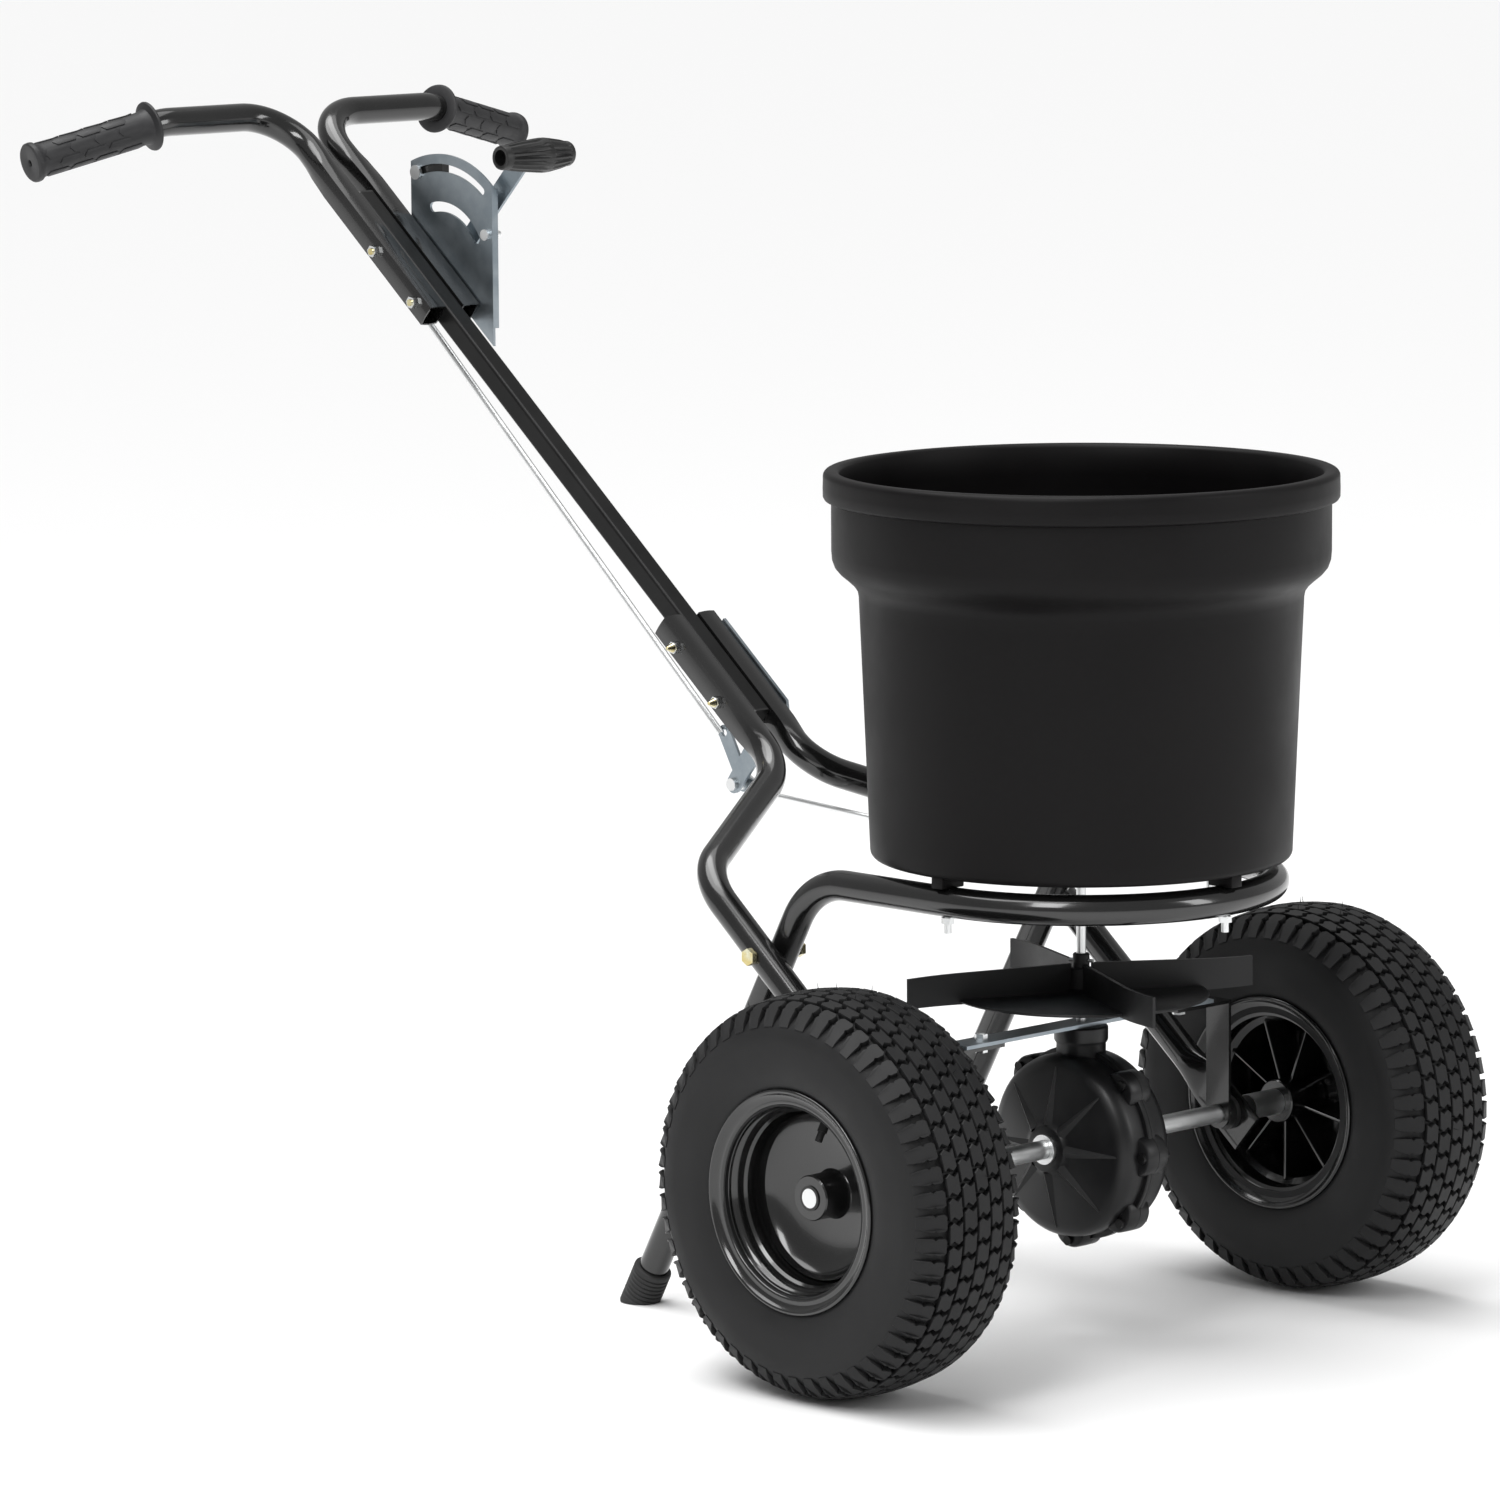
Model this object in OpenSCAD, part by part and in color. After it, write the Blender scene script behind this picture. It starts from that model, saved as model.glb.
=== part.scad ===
// Push broadcast spreader: a hopper on a tube frame, two pneumatic wheels, and an
// axle gearbox that spins the impeller. Its forward direction is -Y and +Z is up.
// The origin lies on the ground, below the middle of the spreader's length and width.

/* [Wheels] */
// Outer radius of the tyres
tyre_r = 165; // [160:1:170]
// Width of each tyre
tyre_w = 115.4; // [110:0.2:118]
// Distance from the middle of the spreader to the middle of each tyre
half_track = 288.1; // [286:0.1:292]
// Radius of the rim's outer lip
rim_lip_r = 91.6; // [90:0.1:94]
// Radius of the axle
axle_r = 7.94; // [7.9:0.01:7.94]

/* [Frame] */
// Slope of the pole and of the lower tubes, in degrees above level
slope = 40.1; // [40:0.1:40.2]
// Outer radius of the round frame tubes
tube_r = 12.7; // [12.5:0.1:12.8]
// Wall thickness of the tubes
tube_wall = 1.5; // [1.2:0.1:2]
// Side of the square pole
pole_w = 19; // [18.8:0.1:19.2]
// Side distance of the lower tubes where they run beside the hopper
lower_x = 184.5; // [184.5:0.1:186]
// Side distance of the support tube's legs
leg_x = 158.8; // [158:0.1:158.8]
// Height of the support ring's centre line
ring_z = 386; // [385:0.5:386]

/* [Hopper] */
// Radius of the hopper at its floor
hopper_base_r = 174.7; // [174:0.1:176]
// Radius of the hopper's upper band
hopper_band_r = 205; // [204:0.5:206]
// Radius of the rolled rim
hopper_rim_r = 211.9; // [211:0.1:213]
// Height of the hopper's floor above the ground
floor_z = 406; // [406:0.5:407]
// Height of the rim above the ground
rim_z = 726.2; // [720:0.2:730]
// Wall thickness of the hopper
hopper_wall = 3; // [2.5:0.5:3.5]

/* [Spreading gear] */
// Radius of the impeller
impeller_r = 156; // [150:1:158]
// Teeth on the axle's crown gear
gear_teeth = 42; // [42:42]
// Teeth on the pinion
pinion_teeth = 10; // [10:10]
// Radius of the impeller shaft
shaft_r = 4; // [4:4]

/* [Flow control] */
// Radius of the flow plate about the lever's pivot
plate_r = 101; // [99:1:102]
// Distance along the pole from the axle to the lever's pivot
pivot_s = 1059; // [1058:1:1060]
// Angle of the closed lever forward of upright, in degrees
lever_lean = 43; // [43:43]
// Width of the lever's bar
lever_w = 19; // [18:0.5:20]

/* [Hidden] */
$fn = 48;

black = [0.06, 0.06, 0.065];
rubber = [0.09, 0.09, 0.09];
zinc = [0.62, 0.65, 0.66];
yellow_zinc = [0.72, 0.66, 0.38];

axle_z = tyre_r;
mid_y = 399;                  // from the axle back to the middle of the spreader's length
cs = cos(slope);
sn = sin(slope);

// Clearances: running fits, bolts in their holes, and parts that only pass each other
run = 0.06;
bolt_gap = 0.15;
pass = 0.4;

// Clamp zone of the pole
clamp_x = 17.3;               // centre line of the tubes that hug the pole
clamp_flat = pole_w / 2 + 0.1; // their flattened inner side
clamp_out = clamp_x + tube_r;  // their outer side
bolt_r = 3;
upper_bolts = [1018.4, 1084.8];
lower_bolts = [518, 584.7];

// Lower tubes, in the plane of the frame: side distance and distance up the slope
lower_bend_r = 60;
lower_low = 337;
lower_high = 437;
lower_end = 612;
flat_len = 26.5;
flat_w = 39.5;
flat_t = 4;

// Support tube
leg_lean = 28.67;
leg_top_y = 154;
leg_bend_r = 65;
leg_len = 426;
cap_r = 16.5;
cross_y = 188;
cross_z = axle_z + cross_y * sn / cs;

// Handles
handle_end = 1000;
handle_bend_s = 1264;
handle_bend_r = 50;
grip_x = 160;
grip_droop = 17.2;
grip_len = 126;
grip_start = 11;
grip_r = 16.3;

// Gears
gear_m = 3;
gear_pitch_r = gear_m * gear_teeth / 2;
pinion_pitch_r = gear_m * pinion_teeth / 2;
gear_face = 4.5;               // half the width of the crown gear's tooth ring
box_r = 77;
tower_r = 22.5;
tower_top = 264;

// Flow control plane and its linkage
plate_x = 31;
plate_t = 2.5;
lever_x = 42.5;
lever_t = 3;
rod_x = 39;
rod_r = 3;
lever_foot = 56;               // from the lever's pivot down to the rod's hole
knob_reach = 141;              // from the lever's pivot up to the knob's centre line
piv_y = pivot_s * cs;
piv_z = axle_z + pivot_s * sn;
foot_y = piv_y + lever_foot * sin(lever_lean + 0.5);
foot_z = piv_z - lever_foot * cos(lever_lean + 0.5);
crank_y = 440.4;
crank_z = 416.4;
crank_arm = 47.7;
crank_arm_angle = 60.9;
crank_foot = 24;
crank_foot_angle = 192.3;
crank_t = 3;
lower_rod_r = 2.5;
ear_y = 132;
ear_z = 394;

// Wheel bushings and hub
hub_r = 18.5;
hub_in = 45;
hub_out = 30;
bush_r = 10;
axle_half = 319.4;

// ---------- helpers ----------

// Gives a node its colour. Nodes are drawn with the axle at Y = 0, and moved to the origin here
module place(c) color(c) translate([0, -mid_y, 0]) children();

// Places its children in the sloping plane of the frame: X across, Y up the slope
module incline() translate([0, 0, axle_z]) rotate([slope, 0, 0]) children();

// Places its children, drawn in X and Y, in the plane of Y and Z at a side distance x
module side_plane(x) translate([x, 0, 0]) rotate([90, 0, 90]) children();

// Makes its children twice, the second one mirrored to the other side
module both_sides() { children(); mirror([1, 0, 0]) children(); }

// Straight stretches run this far into the bends beside them
lap = 0.5;

// A bar of the section drawn by its children, from a to b in the plane of X and Y. The
// section's X lies across the bar in the plane, and its Y stands on the plane.
module bar(a, b) {
    d = b - a;
    translate([a[0], a[1], 0]) rotate([0, 0, atan2(d[1], d[0]) + 90]) rotate([90, 0, 0])
        translate([0, 0, -lap]) linear_extrude(norm(d) + 2 * lap) children();
}

// The same section along a bend at p, coming from a and leaving towards b
module bend(a, p, b, bend_r) {
    u = (p - a) / norm(p - a);
    v = (b - p) / norm(b - p);
    turn = acos(u * v);
    side = u[0] * v[1] - u[1] * v[0] > 0 ? 1 : -1;
    start = p - u * bend_r * tan(turn / 2);
    centre = start + side * bend_r * [-u[1], u[0]];
    from = atan2(start[1] - centre[1], start[0] - centre[0]);
    translate([centre[0], centre[1], 0]) rotate([0, 0, side > 0 ? from : from - turn])
        rotate_extrude(angle = turn) translate([bend_r, 0]) children();
}

// Section of the round frame tube, and of its bends, which are drawn a trace thinner
module tube_ring(thin = 0) difference() {
    circle(r = tube_r - thin);
    circle(r = tube_r - tube_wall + thin);
}
module bend_ring() tube_ring(0.05);

// Section of a round tube pressed flat against the pole, which lies on its -X side
module clamp_ring() intersection() {
    union() {
        bend_ring();
        translate([clamp_flat - clamp_x, -20]) square([tube_wall, 40]);
    }
    circle(r = tube_r - 0.05);
    translate([clamp_flat - clamp_x, -20]) square(40);
}

// Length of straight bar that a bend at p takes up on each side
function bend_take(a, p, b, bend_r) =
    bend_r * tan(acos(((p - a) / norm(p - a)) * ((b - p) / norm(b - p))) / 2);

// A hexagon bolt along +Z: the head's top is at 0 and the shank is len long below it
module hex_bolt(r, len, head_h = 4) {
    cylinder(r = r * 1.85, h = head_h, $fn = 6);
    translate([0, 0, -len]) cylinder(r = r, h = len + head_h / 2);
}

// A hexagon nut along +Z, standing on 0
module hex_nut(r, h = 5) difference() {
    cylinder(r = r * 1.85, h = h, $fn = 6);
    translate([0, 0, -1]) cylinder(r = r + run, h = h + 2);
}

// A cap nut along +Z with a pointed end
module cap_nut(r, h = 5) difference() {
    union() {
        cylinder(r = r * 1.85, h = h, $fn = 6);
        translate([0, 0, h]) cylinder(r1 = r * 1.4, r2 = r * 0.5, h = r * 2.2);
    }
    translate([0, 0, -1]) cylinder(r = r + run, h = h + 1.5);
}

// A square with rounded corners, centred
module rounded_square(side, corner) {
    square([side - 2 * corner, side], center = true);
    square([side, side - 2 * corner], center = true);
    for (i = [-1, 1], j = [-1, 1])
        translate([i * (side / 2 - corner), j * (side / 2 - corner)]) circle(r = corner);
}

// ---------- hopper and gate ----------

step_z = floor_z + 223;
band_z = rim_z - 24.7;
hopper_neck_r = 182.5;

// Half outline of the hopper's outer skin, inset by i
module hopper_outline(i, low, high) polygon(concat(
    [[0, low], [hopper_base_r - i - 6, low]],
    [for (a = [-60 : 30 : 0]) [hopper_base_r - i - 6 + 6 * cos(a), low + 6 + 6 * sin(a)]],
    [[hopper_neck_r - i, step_z - 8]],
    [for (a = [0 : 15 : 75]) [hopper_neck_r - i + 20 * (1 - cos(a)), step_z - 8 + 20 * sin(a)]],
    [[hopper_band_r - i - 3, step_z + 14], [hopper_band_r - i, step_z + 19], [hopper_band_r - i, high],
     [0, high]]));

// Places its children at the three bolts between the hopper's feet and the ring
module at_hopper_bolts() for (a = [0, -90, 180])
    translate([leg_x * cos(a), leg_x * sin(a), 0]) children();

port_y = 38;
port_len = 17;
gate_travel = 19.8;

// The three ports in the hopper's floor, and the same windows in the closure plate
module ports() for (x = [-34, 0, 34]) translate([x, port_y]) {
    square([18, port_len - 6], center = true);
    for (s = [-1, 1]) translate([0, s * (port_len / 2 - 3)]) {
        square([12, 6], center = true);
        for (t = [-1, 1]) translate([t * 6, 0]) circle(r = 3);
    }
}

module hopper() place(black) difference() {
    union() {
        rotate_extrude() hopper_outline(0, floor_z, rim_z - 4);
        translate([0, 0, band_z]) cylinder(r = hopper_rim_r, h = rim_z - band_z - 4);
        translate([0, 0, rim_z - 4]) rotate_extrude() translate([hopper_band_r - 1, 0]) intersection() {
            translate([3.95, 0]) circle(r = 3.95);
            square([10, 10]);
        }
        translate([0, 0, rim_z - 4]) cylinder(r = hopper_band_r + 3, h = 4);
        at_hopper_bolts() translate([0, 0, ring_z + tube_r + 0.1])
            cylinder(r = 12, h = floor_z - ring_z - tube_r + 1);
    }
    rotate_extrude() hopper_outline(hopper_wall, floor_z + 4, rim_z + 1);
    translate([0, 0, floor_z - 1]) cylinder(r = 8 + run, h = 6);
    translate([0, 0, floor_z - 1]) linear_extrude(6) ports();
    at_hopper_bolts() translate([0, 0, ring_z]) cylinder(r = bolt_r + bolt_gap, h = 40);
    at_guide_screws() translate([0, 0, floor_z - 1]) cylinder(r = 2 + bolt_gap, h = 6);
}

module shaft_bushing() place(rubber) difference() {
    union() {
        translate([0, 0, floor_z - 1]) cylinder(r = 8, h = 8);
        translate([0, 0, floor_z + 4]) cylinder(r = 13, h = 4);
    }
    translate([0, 0, floor_z - 2]) cylinder(r = shaft_r + run, h = 12);
}

guide_x = 58.6;
plate_half = 58;
gate_z = floor_z - 2.6;

module at_guide_screws() for (x = [-65, 65], y = [-60, 90]) translate([x, y, 0]) children();

module gate_guides() place(zinc) difference() {
    both_sides() translate([0, 100, 0]) rotate([90, 0, 0]) linear_extrude(170) polygon([
        [guide_x, floor_z - 0.05], [71, floor_z - 0.05], [71, floor_z - 5.2], [55.5, floor_z - 5.2],
        [55.5, floor_z - 3], [guide_x, floor_z - 3]]);
    at_guide_screws() translate([0, 0, floor_z - 7]) cylinder(r = 2 + bolt_gap, h = 8);
}

module guide_screws() place(zinc) at_guide_screws() {
    translate([0, 0, floor_z + 4]) cylinder(r1 = 4.2, r2 = 3, h = 2.2);
    translate([0, 0, floor_z - 9.4]) cylinder(r = 2, h = 14);
    translate([0, 0, floor_z - 8.4]) difference() {
        cylinder(r = 4, h = 3.1, $fn = 6);
        translate([0, 0, -1]) cylinder(r = 2 + run, h = 6);
    }
}

module closure_plate() place(zinc) {
    translate([0, 0, gate_z]) linear_extrude(2) difference() {
        translate([-plate_half, -62]) square([2 * plate_half, 190]);
        translate([0, -gate_travel]) ports();
        translate([-9, -gate_travel]) square([18, gate_travel]);
        for (y = [0, -gate_travel]) translate([0, y]) circle(r = 9);
    }
    // the ear that the lower rod hooks into, with the strip that carries it back
    translate([26, 127, gate_z]) cube([10, 15, 2]);
    difference() {
        translate([34, 122.5, ear_z - 7]) cube([2, 19.5, gate_z + 2 - ear_z + 7]);
        translate([30, ear_y, ear_z]) rotate([0, 90, 0]) cylinder(r = lower_rod_r + run, h = 10);
    }
}

// ---------- spreading gear ----------

impeller_z = 288;
agitator_z = 436;
fin_turn = -27.6;

module agitator() place(zinc) translate([0, 0, agitator_z]) {
    difference() {
        cylinder(r = 9, h = 16, center = true);
        cylinder(r = shaft_r + run, h = 20, center = true);
        translate([0, 0, 5]) rotate([90, 0, 30]) cylinder(r = 1.55, h = 40, center = true);
    }
    for (a = [0, 180]) rotate([0, 0, a]) {
        bar_len = 52;
        translate([8.5, 0, 0]) rotate([0, 90, 0]) cylinder(r = 2.5, h = bar_len);
        translate([8.5 + bar_len, 0, 0]) sphere(r = 2.5);
        translate([8.5 + bar_len, 0, -16]) cylinder(r = 2.5, h = 16);
    }
}

module impeller() place(black) difference() {
    union() {
        translate([0, 0, impeller_z]) cylinder(r = impeller_r, h = 3);
        translate([0, 0, 272]) cylinder(r = 9, h = 40);
        translate([0, 0, 300]) cylinder(r = 7, h = 24);
        for (a = [0 : 90 : 270]) rotate([0, 0, fin_turn + a]) rotate([90, 0, 0])
            translate([0, 0, -1.5]) linear_extrude(3) polygon([[7, 273], [7, 311], [impeller_r - 6, 306],
                [impeller_r, 301], [impeller_r, 288], [impeller_r - 26, 287], [60, 278]]);
    }
    translate([0, 0, 260]) cylinder(r = shaft_r + 0.05, h = 80);
    translate([0, 0, 318]) rotate([90, 0, fin_turn + 45]) cylinder(r = 1.6, h = 40, center = true);
}

module shaft_pins() place(zinc) {
    translate([0, 0, 318]) rotate([90, 0, fin_turn + 45]) cylinder(r = 1.5, h = 22, center = true);
    translate([0, 0, agitator_z + 5]) rotate([90, 0, 30]) cylinder(r = 1.5, h = 24, center = true);
    translate([0, 0, pinion_low + 14.5]) rotate([90, 0, 30]) cylinder(r = 1.5, h = 20, center = true);
}

module impeller_shaft() place(zinc) difference() {
    translate([0, 0, 180]) cylinder(r = shaft_r, h = 276);
    translate([0, 0, 318]) rotate([90, 0, fin_turn + 45]) cylinder(r = 1.55, h = 40, center = true);
    translate([0, 0, agitator_z + 5]) rotate([90, 0, 30]) cylinder(r = 1.55, h = 40, center = true);
    translate([0, 0, pinion_low + 14.5]) rotate([90, 0, 30]) cylinder(r = 1.55, h = 40, center = true);
}

// Outline of the gearbox's half section, radius against side distance
module box_outline(i) polygon([[0, 0], [box_r - i, 0], [box_r - i, 25 - i * 0.7],
    [box_r - 6 - i, 30 - i], [20, 42 - i], [15, 43.8 - i], [0, 43.8 - i]]);

module at_box_screws() for (a = [46 : 45 : 317]) translate([0, 0, axle_z]) rotate([a, 0, 0])
    translate([0, 0, 81.5]) rotate([0, 90, 0]) children();

module box_shell() difference() {
    union() {
        translate([0, 0, axle_z]) both_sides() rotate([0, 90, 0]) rotate_extrude() box_outline(0);
        box_tower();
        at_box_screws() cylinder(r = 6.5, h = 26, center = true);
    }
    translate([0, 0, axle_z]) both_sides() rotate([0, 90, 0]) rotate_extrude() box_outline(3.5);
    translate([0, 0, axle_z]) cylinder(r = tower_r - 4, h = tower_top - axle_z - 6);
    translate([0, 0, axle_z]) cylinder(r = shaft_r + run, h = 120);
    translate([0, 0, axle_z]) rotate([0, 90, 0]) cylinder(r = axle_r + run, h = 120, center = true);
    at_box_screws() cylinder(r = 2 + bolt_gap, h = 40, center = true);
}

module box_tower() {
    translate([0, 0, axle_z + 60]) cylinder(r = tower_r - 1.5, h = tower_top - axle_z - 60);
    translate([0, 0, tower_top - 12]) cylinder(r = tower_r, h = 12);
}

module gearbox_right() place(black) intersection() {
    box_shell();
    translate([-100.05, -150, 0]) cube([100, 300, 400]);
}

module gearbox_left() place(black) intersection() {
    box_shell();
    translate([0.05, -150, 0]) cube([100, 300, 400]);
}

module gearbox_screws() place(zinc) at_box_screws() {
    translate([0, 0, -13]) cylinder(r = 2, h = 27.5);
    translate([0, 0, -16]) cylinder(r = 4, h = 3);
    translate([0, 0, 13.02]) hex_nut(2, 2.8);
}

// Crown gear: a disc whose teeth stand on its face and mesh with the pinion above
module drive_gear() place(rubber) translate([0, 0, axle_z]) difference() {
    union() {
        translate([19, 0, 0]) rotate([0, 90, 0]) cylinder(r = gear_pitch_r + gear_face + 0.5, h = 5);
        translate([19, 0, 0]) rotate([0, 90, 0]) cylinder(r = 15, h = 17);
        for (k = [0 : gear_teeth - 1]) rotate([(k + 0.5) * 360 / gear_teeth, 0, 0])
            translate([0, 0, gear_pitch_r - gear_face]) linear_extrude(2 * gear_face)
            polygon([[12.6, -0.9], [19.5, -2.2], [19.5, 2.2], [12.6, 0.9]]);
    }
    rotate([0, 90, 0]) cylinder(r = axle_r + 0.03, h = 100, center = true);
    translate([30, 0, 0]) cylinder(r = 2.05, h = 60, center = true);
}

pinion_low = axle_z + gear_pitch_r - gear_face - 1;
pinion_h = 2 * gear_face + 2;

module pinion() place(rubber) translate([0, 0, pinion_low]) difference() {
    union() {
        cylinder(r = pinion_pitch_r - 4, h = pinion_h);
        translate([0, 0, pinion_h]) cylinder(r = 9, h = 8);
        linear_extrude(pinion_h) for (k = [0 : pinion_teeth - 1]) rotate(k * 360 / pinion_teeth)
            polygon([[8, -2.4], [11.5, -2.2], [17.4, -0.9], [17.4, 0.9], [11.5, 2.2], [8, 2.4]]);
    }
    translate([0, 0, -1]) cylinder(r = shaft_r + 0.05, h = 30);
    translate([0, 0, 14.5]) rotate([90, 0, 30]) cylinder(r = 1.6, h = 40, center = true);
}

module gear_pin() place(zinc) translate([30, 0, axle_z]) cylinder(r = 2, h = 30, center = true);

// ---------- axle and wheels ----------

module axle() place(zinc) difference() {
    translate([0, 0, axle_z]) rotate([0, 90, 0]) cylinder(r = axle_r, h = 2 * axle_half, center = true);
    translate([30, 0, axle_z]) cylinder(r = 2.05, h = 60, center = true);
    translate([half_track + 22, 0, axle_z]) cylinder(r = 2.55, h = 60, center = true);
}

// A ring on the axle: its inner side at x, its width w
module axle_ring(x, w, r, hole) translate([x, 0, axle_z]) rotate([0, 90, 0]) difference() {
    cylinder(r = r, h = w);
    translate([0, 0, -1]) cylinder(r = hole, h = w + 2);
}

module axle_washers() place(zinc) both_sides() axle_ring(43.9, 2.5, 12.5, axle_r + 0.1);

module axle_bushings() place(rubber) both_sides() {
    axle_ring(177.5, 4.8, 15, axle_r + run);
    axle_ring(182.3, 24, bush_r + 0.5, axle_r + run);
}

module axle_spacers() place(zinc) both_sides() axle_ring(206.8, 36, 11, axle_r + 0.1);

// Half section of the tyre: radius against distance from its middle
tyre_half = tyre_w / 2;
module tyre_section(i) polygon(concat(
    [[76.3, 49.5 - i * 0.2], [88, 49.5 - i], [92.1, 50.9 - i], [94.5, 54.5 - i], [106, 56.5 - i],
     [124 - i * 0.3, tyre_half - i],
     [140 - i * 0.4, 56.2 - i], [152 - i * 0.8, 52 - i], [159 - i, 44 - i * 0.5], [163 - i, 26], [tyre_r - i, 0]],
    [[163 - i, -26], [159 - i, -44 + i * 0.5], [152 - i * 0.8, -52 + i], [140 - i * 0.4, -56.2 + i],
     [124 - i * 0.3, -tyre_half + i], [106, -56.5 + i], [94.5, -54.5 + i], [92.1, -50.9 + i],
     [88, -49.5 + i], [76.3, -49.5 + i * 0.2]]));

module tyre() translate([half_track, 0, axle_z]) rotate([0, 90, 0]) rotate_extrude($fn = 96) difference() {
    tyre_section(0);
    tyre_section(8);
    translate([70, -40]) square([9, 80]);
}

module rim() translate([half_track, 0, axle_z]) rotate([0, 90, 0]) difference() {
    union() {
        rotate_extrude($fn = 72) {
            polygon([[rim_lip_r, 54], [rim_lip_r - 3, 54], [rim_lip_r - 8, 52.2], [73.4, 52.2], [73.4, 30],
                [60, 22], [60, -22], [73.4, -30], [73.4, -52.2], [rim_lip_r - 8, -52.2], [rim_lip_r - 3, -54],
                [rim_lip_r, -54], [rim_lip_r, -51.5], [rim_lip_r - 5, -49.9], [76, -49.9], [76, -29],
                [62.6, -20.5], [62.6, 20.5], [76, 29], [76, 49.9], [rim_lip_r - 5, 49.9],
                [rim_lip_r, 51.5]]);
            polygon([[61, 2], [44, 2], [34, -6], [hub_r - 1, -6], [hub_r - 1, -2.5], [33, -2.5], [43, 5.5],
                [61, 5.5]]);
        }
        translate([0, 0, -hub_in]) cylinder(r = hub_r, h = hub_in + hub_out);
        for (a = [0 : 40 : 320]) rotate([0, 0, a]) translate([hub_r - 1, -1.5, -34]) rotate([90, 0, 90])
            linear_extrude(1) square([3, 30]);
    }
    translate([0, 0, -hub_in - 1]) cylinder(r = bush_r + 0.05, h = hub_in + hub_out + 2);
    translate([-70, 0, 6]) rotate([0, 60, 0]) cylinder(r = 4.05, h = 36, center = true);
}

module valve() translate([half_track, 0, axle_z]) rotate([0, 90, 0])
    translate([-70, 0, 6]) rotate([0, 60, 0]) {
        translate([0, 0, -3]) cylinder(r = 4, h = 24);
        translate([0, 0, 20]) cylinder(r = 3, h = 9);
    }

module wheel_bushings() {
    axle_ring(half_track - hub_in + 0.1, 22, bush_r, axle_r + run);
    axle_ring(half_track + hub_out - 22.1, 22, bush_r, axle_r + run);
}

module tyre_left() place(rubber) tyre();
module tyre_right() place(rubber) mirror([1, 0, 0]) tyre();
module rim_left() place(black) difference() {
    rim();
    translate([half_track + 22, 0, axle_z]) cylinder(r = 2.6, h = 60, center = true);
}
module rim_right() place(black) mirror([1, 0, 0]) rim();
module valve_left() place(rubber) valve();
module valve_right() place(rubber) mirror([1, 0, 0]) valve();
module wheel_bushings_left() place(rubber) difference() {
    wheel_bushings();
    translate([half_track + 22, 0, axle_z]) cylinder(r = 2.6, h = 60, center = true);
}
module wheel_bushings_right() place(rubber) mirror([1, 0, 0]) wheel_bushings();
module drive_pin() place(zinc) translate([half_track + 22, 0, axle_z])
    cylinder(r = 2.5, h = 2 * hub_r + 6, center = true);
module end_rings() place(black) both_sides() axle_ring(half_track + hub_out + 0.1, 1, 10.2, axle_r + 0.03);

// ---------- frame ----------

clamp_start = 482;

module lower_tube() difference() {
    incline() {
        p = [[lower_x, 60], [lower_x, lower_low], [clamp_x, lower_high], [clamp_x, lower_end]];
        t1 = bend_take(p[0], p[1], p[2], lower_bend_r);
        t2 = bend_take(p[1], p[2], p[3], lower_bend_r);
        u = (p[2] - p[1]) / norm(p[2] - p[1]);
        bar(p[0], p[1] - [0, t1]) tube_ring();
        bend(p[0], p[1], p[2], lower_bend_r) bend_ring();
        bar(p[1] + t1 * u, p[2] - t2 * u) tube_ring();
        bend(p[1], p[2], p[3], lower_bend_r) bend_ring();
        bar(p[2] + [0, t2], [clamp_x, clamp_start]) tube_ring();
        bar(p[3], [clamp_x, clamp_start]) clamp_ring();
        // the end pressed flat to carry the axle
        difference() {
            hull() {
                translate([lower_x, 60, 0]) rotate([-90, 0, 0]) cylinder(r = tube_r, h = 0.2, $fn = 32);
                translate([lower_x - flat_t / 2, 28, -flat_w / 2]) cube([flat_t, 0.1, flat_w]);
            }
            translate([lower_x, 40, 0]) rotate([-90, 0, 0])
                cylinder(r1 = 1, r2 = tube_r - tube_wall, h = 20.3, $fn = 32);
        }
        translate([lower_x - flat_t / 2, -flat_len, -flat_w / 2]) cube([flat_t, flat_len + 28, flat_w]);
    }
    translate([lower_x, 0, axle_z]) rotate([0, 90, 0]) cylinder(r = bush_r + 0.55, h = 40, center = true);
    translate([lower_x, cross_y, cross_z]) rotate([0, 90, 0])
        cylinder(r = 4 + bolt_gap, h = 60, center = true);
    incline() for (s = lower_bolts) translate([0, s, 0]) rotate([0, 90, 0])
        cylinder(r = bolt_r + bolt_gap, h = 80, center = true);
}

module lower_tube_left() place(black) lower_tube();
module lower_tube_right() place(black) mirror([1, 0, 0]) lower_tube();

// Places its children at the top of a support leg, looking down along it
module down_leg() translate([leg_x, leg_top_y, ring_z]) rotate([180 + leg_lean, 0, 0]) children();

module support_tube() place(black) difference() {
    union() {
        foot = [leg_top_y + leg_len * sin(leg_lean), ring_z - leg_len * cos(leg_lean)];
        top = [leg_top_y, ring_z];
        front = [0, ring_z];
        t = bend_take(foot, top, front, leg_bend_r);
        both_sides() side_plane(leg_x) {
            bar(foot, top + t * (foot - top) / norm(foot - top)) tube_ring();
            bend(foot, top, front, leg_bend_r) bend_ring();
            bar([top[0] - t, ring_z], front) tube_ring();
        }
        translate([0, 0, ring_z]) rotate([0, 0, 180]) rotate_extrude(angle = 180)
            translate([leg_x, 0]) bend_ring();
    }
    at_hopper_bolts() translate([0, 0, ring_z - 20]) cylinder(r = bolt_r + bolt_gap, h = 40);
    both_sides() translate([leg_x, cross_y, cross_z]) rotate([0, 90, 0])
        cylinder(r = 4 + bolt_gap, h = 60, center = true);
}

module foot_caps() place(rubber) both_sides() difference() {
    down_leg() translate([0, 0, leg_len - 22]) cylinder(r = cap_r, h = 40);
    down_leg() cylinder(r = tube_r + 0.05, h = leg_len + 0.6);
    translate([0, 200, -50]) cube([300, 300, 50]);
}

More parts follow.
